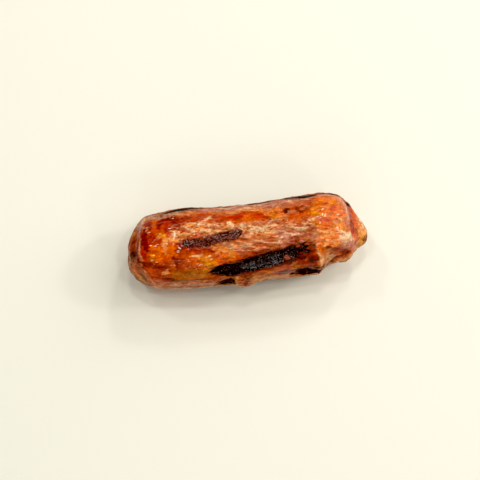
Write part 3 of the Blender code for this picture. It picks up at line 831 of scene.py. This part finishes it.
        ("brightRed", 0.9, 0.8, (90.4, 33)), ("olive", 0.5, 0.7, (91.5, -2), (91.4, 2)),
        # the cream line along the right streak is a painted glint
        ("rust", 0.6, 0.8, (91.8, -8.5)), ("cream", 0.6, 0.9, (82, 11), (84, 13), (86.2, 13.5)),
        ("ochre", 1.3, 0.6, (98, -10), (98.4, -19)), ("peach", 1.8, 0.7, (90, -16), (94, -18)),
    ],
    "tiedEnd": [
        ("glow", 1.2, 0.9, (99.4, 80), (99.6, 50), (99.6, 25)),
        ("salmon", 1.2, 0.8, (98.6, 20), (98.8, 4), (99.4, -16)),
        # the dark red band along the tied crease is painted shade
        ("deepRed", 1.1, 0.8, (101.3, 78), (101.7, 52), (102.2, 22), (101.9, 0), (101.3, -17)),
        ("salmon", 1.9, 0.95, (103.4, 80), (103.9, 50), (104.2, 20), (104, -10)),
        ("beige", 1.6, 0.8, (106.4, 60), (106.8, 20), (107.2, 0)),
        ("tan", 2.6, 0.95, (106.8, -18), (106, -50), (104.6, -84)),
        ("ochre", 0.8, 0.7, (103, -58), (104.4, -76)), ("rust", 0.7, 0.7, (100.6, -45), (102, -56)),
        ("mauve", 1.3, 0.9, (107.6, -40), (107.4, -80), (105.4, -104)),
        ("darkBrown", 0.5, 0.7, (107.9, -50), (107.2, -92)),
        # the palest stroke on top of the bulge is a painted highlight
        ("palest", 1.8, 0.55, (95.4, -25), (99.2, -27)), ("salmon", 2.3, 0.95, (95.4, -35), (99.4, -37)),
        ("pink", 1.3, 0.6, (97.6, -41), (100, -42)), ("rust", 1.6, 0.9, (94, -47), (96.4, -52)),
        ("darkBrown", 0.9, 0.85, (96.4, -55), (98.2, -60)),
        # painted shadow under the brow fold
        ("blackRed", 0.75, 0.95, (88.4, -36), (90, -39.5), (91.8, -43)),
        ("rose", 1.7, 0.8, (90.4, -48), (91.4, -58)), ("tan", 1.7, 0.7, (90, -64), (89.6, -72)),
        # painted shade in the slit under the lip
        ("deepRed", 1.3, 1, (92, -71), (94, -67), (96, -63)),
        ("darkBrown", 0.7, 0.95, (96.6, -62), (98.6, -61)),
        ("tan", 1.2, 0.9, (92.4, -82), (96, -77), (100, -73)), ("olive", 0.7, 0.7, (98, -68), (99.6, -66)),
    ],
    "finerCap": [
        ("rust", 1.6, 0.8, (4.5, 30), (4.2, 14), (3.2, 4)), ("tan", 0.7, 0.8, (2.5, 70), (3.6, 52)),
        ("blackRed", 0.7, 0.8, (2, -4), (2.8, -8)), ("deepRed", 0.6, 0.8, (5.4, -22), (5.8, -27)),
        ("pink", 1.6, 0.8, (3.5, -60), (2, -44), (3, -34)), ("tan", 1.4, 0.6, (4.6, -66), (6.4, -76)),
        ("rust", 1, 0.8, (7.2, -37), (8.6, -47), (9.8, -56)),
    ],
    "finerTiedEnd": [
        ("glow", 1.1, 0.8, (92, -24), (93.6, -18)), ("pink", 1.9, 0.9, (95, -35), (98.6, -38)),
        # painted shadow under the brow fold
        ("deepRed", 0.7, 0.95, (89.4, -37), (90.6, -40), (93, -44), (95.2, -48), (97.6, -51)),
        ("peach", 0.8, 0.8, (86.8, -29), (89, -31)),
        ("beige", 1.2, 0.8, (90.6, -60), (90.4, -70), (90.6, -82)),
        # painted shade in the slit under the lip
        ("blackRed", 0.7, 1, (90.6, -76), (93.2, -69), (95.8, -61), (97.2, -62)),
        ("dryBrown", 0.9, 0.8, (90, -82), (94.6, -78), (98, -72)),
        ("beige", 0.7, 0.7, (92, -90), (96, -88), (100, -84)),
        ("peach", 0.6, 0.8, (84.2, -32), (85.4, -46), (86.2, -62), (85.8, -80)),
        # painted shade along the tied crease
        ("rust", 1.5, 0.8, (100.4, 74), (101, 50), (101.4, 22), (101.6, 0), (101.6, -14)),
        ("deepRed", 0.7, 0.9, (101, 70), (101.3, 35), (101.7, 8), (102, -12)),
        ("rust", 0.6, 0.8, (98.2, 6), (98.8, -4), (99.6, -10)),
        ("orange", 1, 0.8, (102.8, 60), (103.2, 30), (103.2, 6)),
        ("palest", 0.7, 0.9, (104.8, 80), (105.6, 50), (106.2, 20)),
        ("tan", 1.2, 0.7, (105.2, 30), (104.8, 0), (105, -20)),
        ("peach", 0.9, 0.9, (106.4, -8), (106.6, -20)), ("dryBrown", 0.8, 0.8, (106.6, -50), (106.6, -70)),
        ("ashGrey", 0.7, 0.7, (107.6, -56), (107.4, -84)),
    ],
    "longMarkEnd": [
        ("deepRed", 0.9, 0.95, (79.4, -41), (80.4, -46)), ("blackRed", 1, 1, (80.6, -48), (81.6, -51)),
        ("darkBrown", 0.8, 0.9, (80, -30), (81.2, -33)), ("rust", 0.8, 0.9, (82, -37), (83.4, -45)),
        ("orange", 0.6, 0.9, (78.6, -47), (78.8, -50)), ("darkBrown", 0.9, 0.8, (77.2, -43), (77.8, -46)),
        ("amber", 0.7, 0.7, (74.4, -56), (75.6, -58)), ("darkBrown", 0.9, 0.9, (78, -64), (83, -64)),
        ("glow", 0.6, 0.9, (84.8, -56), (85.2, -64)), ("blackRed", 0.8, 0.9, (68.4, -48), (71.4, -48)),
        ("darkBrown", 1.1, 0.8, (42.8, -70), (44.4, -76)), ("rust", 0.8, 0.9, (45.4, -62), (46.6, -66)),
    ],
    "backLines": [
        ("pink", 0.9, 0.8, (30, 58), (38, 60), (46, 59)), ("beige", 0.6, 0.7, (50, 63), (58, 63), (66, 61)),
        ("rust", 0.5, 0.8, (44, 55), (54, 54.5), (62, 52)),
        ("palest", 0.45, 0.8, (70, 56), (78, 54), (84, 50)),
    ],
    "besideLongMark": [
        ("rust", 1.5, 0.85, (55, -29), (62, -27), (70, -22), (77, -18)),
        ("plum", 1.5, 0.75, (57, -28), (65, -24), (72, -20.5), (77, -17)),
        ("blackRed", 0.8, 0.8, (55, -31), (63, -28), (70, -25), (77, -20)),
        ("rust", 0.8, 0.8, (46, -60), (54, -57), (60, -54), (68, -50)),
        ("rosy", 1.6, 0.8, (69.5, -2), (75, -6), (79, -7)),
        ("plum", 0.9, 0.6, (73, -12), (79, -11), (83, -8)),
        ("salmon", 1, 0.8, (79, -3), (84, -6), (86, -12)), ("plum", 0.6, 0.9, (79.5, -9), (82, -12)),
        ("rust", 0.7, 0.8, (72, -9), (75, -10.5)), ("rust", 0.7, 0.8, (82, 0), (84.5, -2)),
        ("palest", 0.6, 0.8, (74, -1), (77.5, -2)), ("peach", 0.7, 0.8, (77, -14), (80, -15)),
    ],
    "burstAndLip": [
        ("rosy", 1.6, 0.8, (70.2, -40)), ("plum", 1.6, 0.6, (70.8, -42)),
        ("tan", 0.7, 0.9, (47.6, -64), (47, -72), (47.4, -86)),
        ("rust", 0.6, 0.8, (45.2, -68), (45.4, -80)), ("darkBrown", 1.2, 0.9, (41.6, -76), (43.8, -80)),
        ("dryBrown", 0.8, 0.9, (88, -84), (91, -86), (94, -90), (97, -88)),
        ("darkBrown", 0.5, 0.8, (91.6, -82), (94.4, -85), (97.4, -80)),
        ("orange", 0.7, 0.8, (92.4, -76), (95.6, -71), (98.6, -67)),
    ],
    "finerRight": [
        ("orange", 1.6, 0.8, (86.4, 10), (88.4, 4), (90.6, -2)),
        ("orangeRed", 0.7, 0.8, (87, 8), (89.4, 3)), ("brightRed", 1.1, 0.8, (92.6, 24), (94, 21)),
        # the palest stroke is a painted highlight on top of the bulge
        ("rosy", 1.1, 0.6, (98, 40), (98.8, 16), (99.2, 0)), ("palest", 1, 0.7, (96.8, -21), (99.6, -24)),
        ("rosy", 1.7, 0.7, (95.6, -35), (99, -37)),
    ],
    "backEdge": [
        ("salmon", 0.9, 0.8, (38, 50), (44, 47), (50, 46), (56, 45)),
        ("peach", 1.3, 0.85, (53, 50), (58, 47), (62, 45)),
        ("palest", 0.8, 0.75, (44, 60), (50, 57), (56, 54), (62, 53)),
        ("salmon", 1.6, 0.8, (61, 43), (66, 40), (70, 38)),
        ("pink", 1.2, 0.8, (69, 52), (75, 49), (79, 46)),
        ("dryBrown", 0.6, 0.7, (38, 76), (48, 70), (56, 70), (66, 68), (74, 64)),
        ("palest", 0.8, 0.7, (12, 70), (16, 66), (21, 66)),
    ],
    "dabs": [
        ("peach", 1.4, 0.85, (44.4, -6), (46.4, -10)), ("tan", 1.3, 0.8, (76.6, -3), (79.4, -5)),
        ("pink", 1.2, 0.7, (81.2, -2), (83, -6)), ("deepRed", 1.4, 0.85, (23.2, -4), (23.8, -10)),
        ("blackRed", 1.2, 0.75, (65.4, -71), (69.4, -65)), ("peach", 1.4, 0.8, (58.4, -4), (61.6, -4)),
        ("rosy", 0.8, 0.6, (68.8, -20), (74, -21)), ("rust", 1.2, 0.7, (100.4, -50), (101.4, -57)),
        ("peach", 1.3, 0.75, (69, 28), (71.4, 26)), ("salmon", 1.3, 0.75, (63.6, 35), (66, 33)),
        ("palest", 1.2, 0.7, (69.4, 10), (71.6, 9)), ("salmon", 1, 0.8, (26.4, 48), (29, 48.5)),
        ("rust", 1.1, 0.8, (80.4, -31), (82, -33)), ("dryBrown", 1, 0.8, (45.4, -68), (45.8, -76)),
        ("peach", 1.2, 0.8, (91, -31), (92.6, -33)), ("pink", 1.2, 0.7, (80.2, 36), (82.2, 37)),
        ("orange", 1.2, 0.8, (35.6, 29), (37.4, 27)), ("salmon", 0.9, 0.7, (64.4, -20), (66.4, -20)),
        ("deepRed", 1.3, 0.85, (20.8, -24), (22, -29)), ("pink", 1, 0.8, (71, 44), (74, 43)),
        ("deepRed", 1.4, 0.9, (66, -70), (70, -64)), ("orange", 1, 0.8, (100, -48), (101.4, -53)),
        ("orangeRed", 1.2, 0.8, (49.6, -14), (51.4, -17)), ("rust", 1, 0.8, (81, -35), (82.4, -38)),
        ("orangeRed", 1, 0.7, (26.4, 29), (27.8, 27)), ("orange", 1.1, 0.8, (35.4, 30), (37.4, 27)),
        ("deepRed", 1, 0.8, (24, -6), (24.4, -9)), ("peach", 1.4, 0.8, (69.6, 8), (72, 6)),
        ("salmon", 1.2, 0.8, (76.4, 12), (78.6, 10)), ("peach", 1.3, 0.8, (85, -7), (87.4, -9)),
        ("orange", 1.3, 0.8, (95, 13), (97, 17)), ("palest", 1.4, 0.6, (89.6, -100), (92.4, -108)),
        # the palest stroke is a painted highlight on top of the bulge
        ("orange", 3.2, 0.5, (88, 30), (92, 16), (90, 2)), ("palest", 2, 0.7, (95.6, -27), (99, -29)),
    ],
    "laterDabs": [
        ("peach", 1, 0.8, (47, 47), (54, 46)), ("orangeRed", 1.4, 0.8, (40, 36), (46, 38), (52, 38)),
        ("brightRed", 0.8, 0.7, (48, 35), (52, 36)), ("tan", 1.4, 0.6, (54, -74), (62, -79), (70, -84)),
        ("glow", 1.3, 0.8, (51.4, -7), (56, -12.6), (62, -12)),
        ("amber", 1.2, 0.8, (42, -14), (46, -18), (47, -26)),
        ("orange", 0.8, 0.8, (57, -7), (62, -8.6), (65.8, -8), (67, -5)),
        ("orangeRed", 0.5, 0.8, (55, -10.6), (60, -12), (64, -13)),
        ("rust", 1, 0.85, (99.4, -43), (101, -48)), ("blackRed", 1.3, 0.85, (67.4, -69), (70.4, -66)),
        ("mauve", 0.9, 0.6, (71, -21), (74.4, -22)), ("orangeRed", 1, 0.8, (35.4, 28.6), (37.6, 27.4)),
        ("rust", 1.2, 0.9, (81, -33.4), (82.8, -35.6)), ("deepRed", 1.3, 0.9, (23.4, -6), (24.6, -8.6)),
        ("blackRed", 0.6, 0.8, (38.6, 6), (42, 8.4)), ("orangeRed", 1, 0.75, (20.4, 16), (22.4, 16)),
        ("tan", 0.9, 0.8, (45.2, -72), (46.2, -78)), ("peach", 1.6, 0.9, (43.6, -8), (46.6, -9)),
        ("cream", 1.2, 0.75, (44.4, -8), (46.2, -9.6)), ("palest", 1.2, 0.8, (76.4, -2), (78.6, -4)),
        ("peach", 1.2, 0.8, (58.4, -5), (60.6, -5)),
    ],
    "lowFlank": [
        # paler tan on the low flank, painted lighter as well to lift the flank out of its shade
        ("palest", 1.7, 0.6, (10, -88), (18, -96), (30, -98), (40, -95)),
        ("darkBrown", 0.5, 0.8, (35, -92), (39, -92)), ("rust", 0.6, 0.8, (24.5, -84), (27, -85)),
        ("rosy", 0.9, 0.7, (20, -76), (28, -78), (36, -78)),
        # paler tan on the low flank, painted lighter as well to lift the flank out of its shade
        ("palest", 1.3, 0.6, (55, -93), (66, -96), (78, -97)),
    ],
    "lastDabs": [
        ("tan", 1, 0.8, (45.4, -73), (46.2, -77)), ("orangeRed", 1.1, 0.8, (49.4, -14), (51.2, -17)),
        ("cream", 1.8, 0.85, (77.2, -2.6), (78, -3.4)), ("peach", 1.8, 0.8, (70, 8.4), (70.8, 7.6)),
        ("peach", 1.8, 0.8, (86.4, -13.6), (87.4, -14.4)), ("peach", 1.6, 0.8, (28.2, 12), (29, 12)),
        ("orangeRed", 1.6, 0.95, (50, -14.6), (50.8, -15.6)), ("darkBrown", 0.35, 0.9, (93.4, 4)),
        ("darkBrown", 0.35, 0.9, (94.8, 1)),
    ],
    "sidesFacingAway": [
        ("rust", 3.2, 0.7, (20, 108), (34, 110)), ("rust", 3.4, 0.7, (60, 102), (74, 100)),
        ("ochre", 4, 0.6, (42, 106), (52, 104)), ("brightRed", 4, 0.6, (28, 148), (42, 144)),
        ("rust", 4.4, 0.7, (68, -150), (84, -158)), ("deepRed", 3, 0.6, (14, -140), (20, -160)),
        ("orange", 6, 0.6, (50, 176), (66, -172)), ("dryTan", 5, 0.6, (30, -112), (60, -114), (90, -118)),
    ],
}
toneFinish = {
    "ground": "#cc500c",
    "browning": 0.86,  # all tones are this share of their palette's brightness
    # how far the edge of a stroke strays, in millimetres, and how ragged it is
    "strayAlong": [(1.2, 4.2, 2.4, 31), (0.6, 1.4, 0.9, 32)],
    "strayRound": [(0.75, 4.2, 2.4, 33), (0.375, 1.4, 0.9, 34)],
    "ragged": [(0.55, 2.4, 1.1, 35), (0.5, 1.0, 0.6, 36), (0.35, 0.7, 0.4, 39)],
    "softFrom": -0.22,  # a stroke's edge fades between these, as shares of its half width
    "softTo": 0.36,
    "mottle": [(0.22, 3.0, 1.3, 37), (0.176, 1.2, 0.8, 38)],
    "mottleByColour": (0.8, 1.5, 1.6),  # browning takes the blue and green first
    "capDryness": 0.75,
    "capEdge": (3.0, 8.5),  # the rounded cap is dry, to here along the link
}


def paintTones(skin):
    # strokes are laid over each other with ragged edges, then mottled along the link
    finish = toneFinish
    skin.strayAlong, skin.strayRound = skin.blend(finish["strayAlong"]), skin.blend(finish["strayRound"])
    ragged = skin.blend(finish["ragged"])
    colour = np.tile(rgbOf(finish["ground"]), (len(skin.along), 1))
    dull = np.zeros(skin.along.shape)
    for tone, halfWidth, strength, *path in sum(toneStrokes.values(), []):
        tint, dryness = tonePalette[tone]
        within = 1.0 - skin.gapToPath(path) / halfWidth + ragged
        cover = strength * smoothRamp(within, finish["softFrom"], finish["softTo"])
        colour += (rgbOf(tint) - colour) * cover[:, None]
        dull += (dryness - dull) * cover
    mottle = 1.0 + skin.blend(finish["mottle"])
    colour *= finish["browning"] * mottle[:, None] ** np.array(finish["mottleByColour"])
    # the painted glints on the blister tops
    colour += (rgbOf(blisters["tint"]) - colour) * blisters["glintShare"] * skin.blistered[:, None]
    skin.tint = np.clip(colour, 0.0, 1.0)
    dryCap = finish["capDryness"] * (1.0 - smoothRamp(skin.along, *finish["capEdge"]))
    skin.masks["dull"] = np.maximum(dull, dryCap)
    skin.strayAlong = skin.strayRound = 0.0
    print("tones painted")


# Cooked natural casing over browned meat: thin, shiny with fat, mottled where it browned unevenly
casingFinish = {
    "mottleSize": 0.75 * mm,
    "streakSize": 1.6 * mm,
    "streakStretch": (0.4, 1.0, 1.0),
    "mottle": 1.7,  # everywhere, and that much more where the skin is crinkled
    "crinkledMottle": 1.25,
    "crinkleSize": 1.1 * mm,
    "crinkleShare": 0.55,
    "crestAndHighlightRange": (1.05, 1.7),  # of the ridged noise: where its ridges and its hollows start and end
    "creaseAndShadeRange": (0.75, 0.25),
    # the pale crests carry a painted highlight and the dark creases painted shade, over their own colour
    "crestAndHighlightTint": "#ffdfb0",
    "crestAndHighlightShare": 0.68,
    "creaseAndShadeTint": "#a03a0a",
    "creaseAndShadeShare": 0.72,
    "pepperTint": "#4c1606",
    "pepperSpacing": 1.4 * mm,
    "pepperSize": 0.42,  # largest speck, as a share of the spacing
    "pepperShare": 0.75,
    "pepperFrom": 0.02,  # inside a speck's edge, as a share of the spacing
    "pepperTo": 0.10,
    "charFrom": 0.34,  # the depth that the char mask holds, faded between these at a mark's edge
    "charTo": 0.66,
    "charRagged": 1.1,
    "ashSize": 0.42 * mm,
    "ashFrom": 0.60,
    "ashTo": 0.76,
    "ashShare": 0.8,
    "ashPull": 0.3,  # more ash where its mask is strong
    "wetRoughness": 0.34,
    "dullRoughness": 0.55,
    "charRoughness": 0.62,
    "glossRagged": 0.5,
    "coat": 0.95,  # of fat, where the skin is wet, and where it is dry
    "dryCoat": 0.05,
    "dryFrom": 0.8,
    "grainSize": 0.6 * mm,
    "bumpStrength": 0.7,
    "bumpDepth": 0.15 * mm,
    "crinkleBump": 1.2,
    "sockets": {
        "Coat Roughness": 0.05, "Coat IOR": 1.46, "IOR": 1.28, "Specular IOR Level": 0.25,
        "Subsurface Weight": 0.10, "Subsurface Radius": (1.0, 0.35, 0.12), "Subsurface Scale": 1.2 * mm,
    },
}


def casingMaterial():
    finish = casingFinish
    material, tree, shader = newMaterial("grilledNaturalCasing")
    coords = addNode(tree, "TexCoord", output="Object")
    stretched = addNode(tree, "Mapping", {"Scale": finish["streakStretch"]}, {"Vector": coords})
    tones = {name: addNode(tree, "Attribute", {"attribute_name": name}, output="Color")
             for name in ("tone", "charTint", "ashTint")}
    masks = {name: addNode(tree, "Attribute", {"attribute_name": name}, output="Fac")
             for name in ("crinkled", "crestAndHighlight", "creaseAndShade", "char", "ash", "dull")}

    # the painted tones, mottled finer than the mesh can carry
    fine = addNode(tree, "TexNoise", {"Scale": 1 / finish["mottleSize"], "Detail": 3.0, "Roughness": 0.65},
                   {"Vector": coords})
    streaks = addNode(tree, "TexNoise", {"Scale": 1 / finish["streakSize"], "Detail": 4.0, "Roughness": 0.6},
                      {"Vector": stretched})
    speckle = addNode(tree, "Math", {"operation": "ADD"}, {0: fine, 1: streaks})
    centred = addNode(tree, "Math", {"operation": "SUBTRACT", 1: 1.0}, {0: speckle})
    mottled = {"operation": "MULTIPLY_ADD", 1: finish["crinkledMottle"], 2: finish["mottle"]}
    contrast = addNode(tree, "Math", mottled, {0: masks["crinkled"]})
    value = addNode(tree, "Math", {"operation": "MULTIPLY_ADD", 2: 1.0}, {0: centred, 1: contrast})
    colour = addNode(tree, "HueSaturation", {}, {"Value": value, "Color": tones["tone"]})

    # crinkles finer than the mesh, on the blistered stretches: pale ridges with brown between, partly their
    # own colour and partly a painted highlight on the ridges and painted shade between them
    ridged = {"noise_type": "RIDGED_MULTIFRACTAL", "Scale": 1 / finish["crinkleSize"], "Detail": 3.0,
              "Roughness": 0.6, "Offset": 0.9}
    crinkle = addNode(tree, "TexNoise", ridged, {"Vector": stretched})
    for name in ("crestAndHighlight", "creaseAndShade"):
        low, high = finish[name + "Range"]
        rise = {"From Min": low, "From Max": high, "To Max": finish["crinkleShare"]}
        ridge = addNode(tree, "MapRange", rise, {"Value": crinkle})
        shown = addNode(tree, "Math", {"operation": "MULTIPLY"}, {0: ridge, 1: masks["crinkled"]})
        colour = addNode(tree, "Mix", {"data_type": "RGBA", 7: hexToLinear(finish[name + "Tint"])},
                         {0: shown, 6: colour}, 2)

    # specks of pepper and browned meat showing through the thin casing
    pepper = addNode(tree, "TexVoronoi", {"Scale": 1 / finish["pepperSpacing"]}, {"Vector": coords}, "Color")
    chosen = addNode(tree, "SeparateColor", {}, {"Color": pepper})
    size = addNode(tree, "Math", {"operation": "MULTIPLY", 1: finish["pepperSize"]}, {0: chosen})
    speck = addNode(tree, "Math", {"operation": "SUBTRACT"}, {0: size, 1: pepper.node.outputs["Distance"]})
    soft = {"From Min": finish["pepperFrom"], "From Max": finish["pepperTo"], "To Max": finish["pepperShare"]}
    spot = addNode(tree, "MapRange", soft, {"Value": speck})
    shown = addNode(tree, "Math", {"operation": "MULTIPLY"}, {0: spot, 1: masks["crinkled"]})
    colour = addNode(tree, "Mix", {"data_type": "RGBA", 7: hexToLinear(finish["pepperTint"])},
                     {0: shown, 6: colour}, 2)

    # wrinkles: pale where the casing stands proud and dries, with a painted highlight on top, and dark where
    # fat and juice lie, with painted shade in the creases
    for name in ("crestAndHighlight", "creaseAndShade"):
        broken = addNode(tree, "Math", {"operation": "MULTIPLY"}, {0: masks[name], 1: value})
        shown = addNode(tree, "Math", {"operation": "MULTIPLY", 1: finish[name + "Share"]}, {0: broken})
        colour = addNode(tree, "Mix", {"data_type": "RGBA", 7: hexToLinear(finish[name + "Tint"])},
                         {0: shown, 6: colour}, 2)

    # char: matt black carbon with flecks of ash, its edge ragged
    wobble = addNode(tree, "Math", {"operation": "SUBTRACT", 1: 0.5}, {0: fine})
    ragged = addNode(tree, "Math", {"operation": "MULTIPLY_ADD", 1: finish["charRagged"]},
                     {0: wobble, 2: masks["char"]})
    edge = {"interpolation_type": "SMOOTHSTEP", "From Min": finish["charFrom"], "From Max": finish["charTo"]}
    charred = addNode(tree, "MapRange", edge, {"Value": ragged})
    flecks = addNode(tree, "TexNoise", {"Scale": 1 / finish["ashSize"], "Detail": 2.0}, {"Vector": coords})
    ashRise = addNode(tree, "Math", {"operation": "MULTIPLY_ADD", 1: finish["ashPull"]},
                      {0: masks["ash"], 2: flecks})
    ashRange = {"From Min": finish["ashFrom"], "From Max": finish["ashTo"], "To Max": finish["ashShare"]}
    ashShare = addNode(tree, "MapRange", ashRange, {"Value": ashRise})
    carbon = addNode(tree, "Mix", {"data_type": "RGBA"},
                     {0: ashShare, 6: tones["charTint"], 7: tones["ashTint"]}, 2)
    colour = addNode(tree, "Mix", {"data_type": "RGBA"}, {0: charred, 6: colour, 7: carbon}, 2)

    # gloss: wet with fat on the browned top, dull on the pale flanks, matt on the char
    drier = addNode(tree, "Math", {"operation": "MULTIPLY_ADD", 1: finish["glossRagged"]},
                    {0: wobble, 2: masks["dull"]})
    sheen = addNode(tree, "MapRange", {"To Min": finish["wetRoughness"], "To Max": finish["dullRoughness"]},
                    {"Value": drier})
    rough = addNode(tree, "Mix", {"data_type": "FLOAT", 3: finish["charRoughness"]}, {0: charred, 2: sheen})
    bare = addNode(tree, "Math", {"operation": "SUBTRACT", 0: 1.0}, {1: charred})
    drying = {"From Max": finish["dryFrom"], "To Min": finish["coat"], "To Max": finish["dryCoat"]}
    fat = addNode(tree, "MapRange", drying, {"Value": masks["dull"]})
    coat = addNode(tree, "Math", {"operation": "MULTIPLY"}, {0: bare, 1: fat})

    # fine grain and crinkles as bump
    grain = addNode(tree, "TexNoise", {"Scale": 1 / finish["grainSize"], "Detail": 3.0}, {"Vector": coords})
    folded = addNode(tree, "Math", {"operation": "MULTIPLY"}, {0: crinkle, 1: masks["crinkled"]})
    relief = addNode(tree, "Math", {"operation": "MULTIPLY_ADD", 1: finish["crinkleBump"]},
                     {0: folded, 2: grain})
    bump = addNode(tree, "Bump", {"Strength": finish["bumpStrength"], "Distance": finish["bumpDepth"]},
                   {"Height": relief})
    wired = {"Base Color": colour, "Roughness": rough, "Coat Weight": coat, "Normal": bump}
    for socket, source in wired.items():
        tree.links.new(source, shader.inputs[socket])
    for socket, setting in finish["sockets"].items():
        shader.inputs[socket].default_value = setting
    return material


def makeCasing():
    link = makeCage()
    skin = Skin(link.data)
    pressMarks(skin)
    foldSkin(skin)
    raiseBlisters(skin)
    wrinkleSkin(skin)
    paintTones(skin)
    scorchSkin(skin)
    skin.store()
    link.data.materials.clear()
    link.data.materials.append(casingMaterial())
    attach(link, "root")
    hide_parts("sausage")
    print("casing finished")
    return link


makeStudio()
makeCamera()
makeCasing()
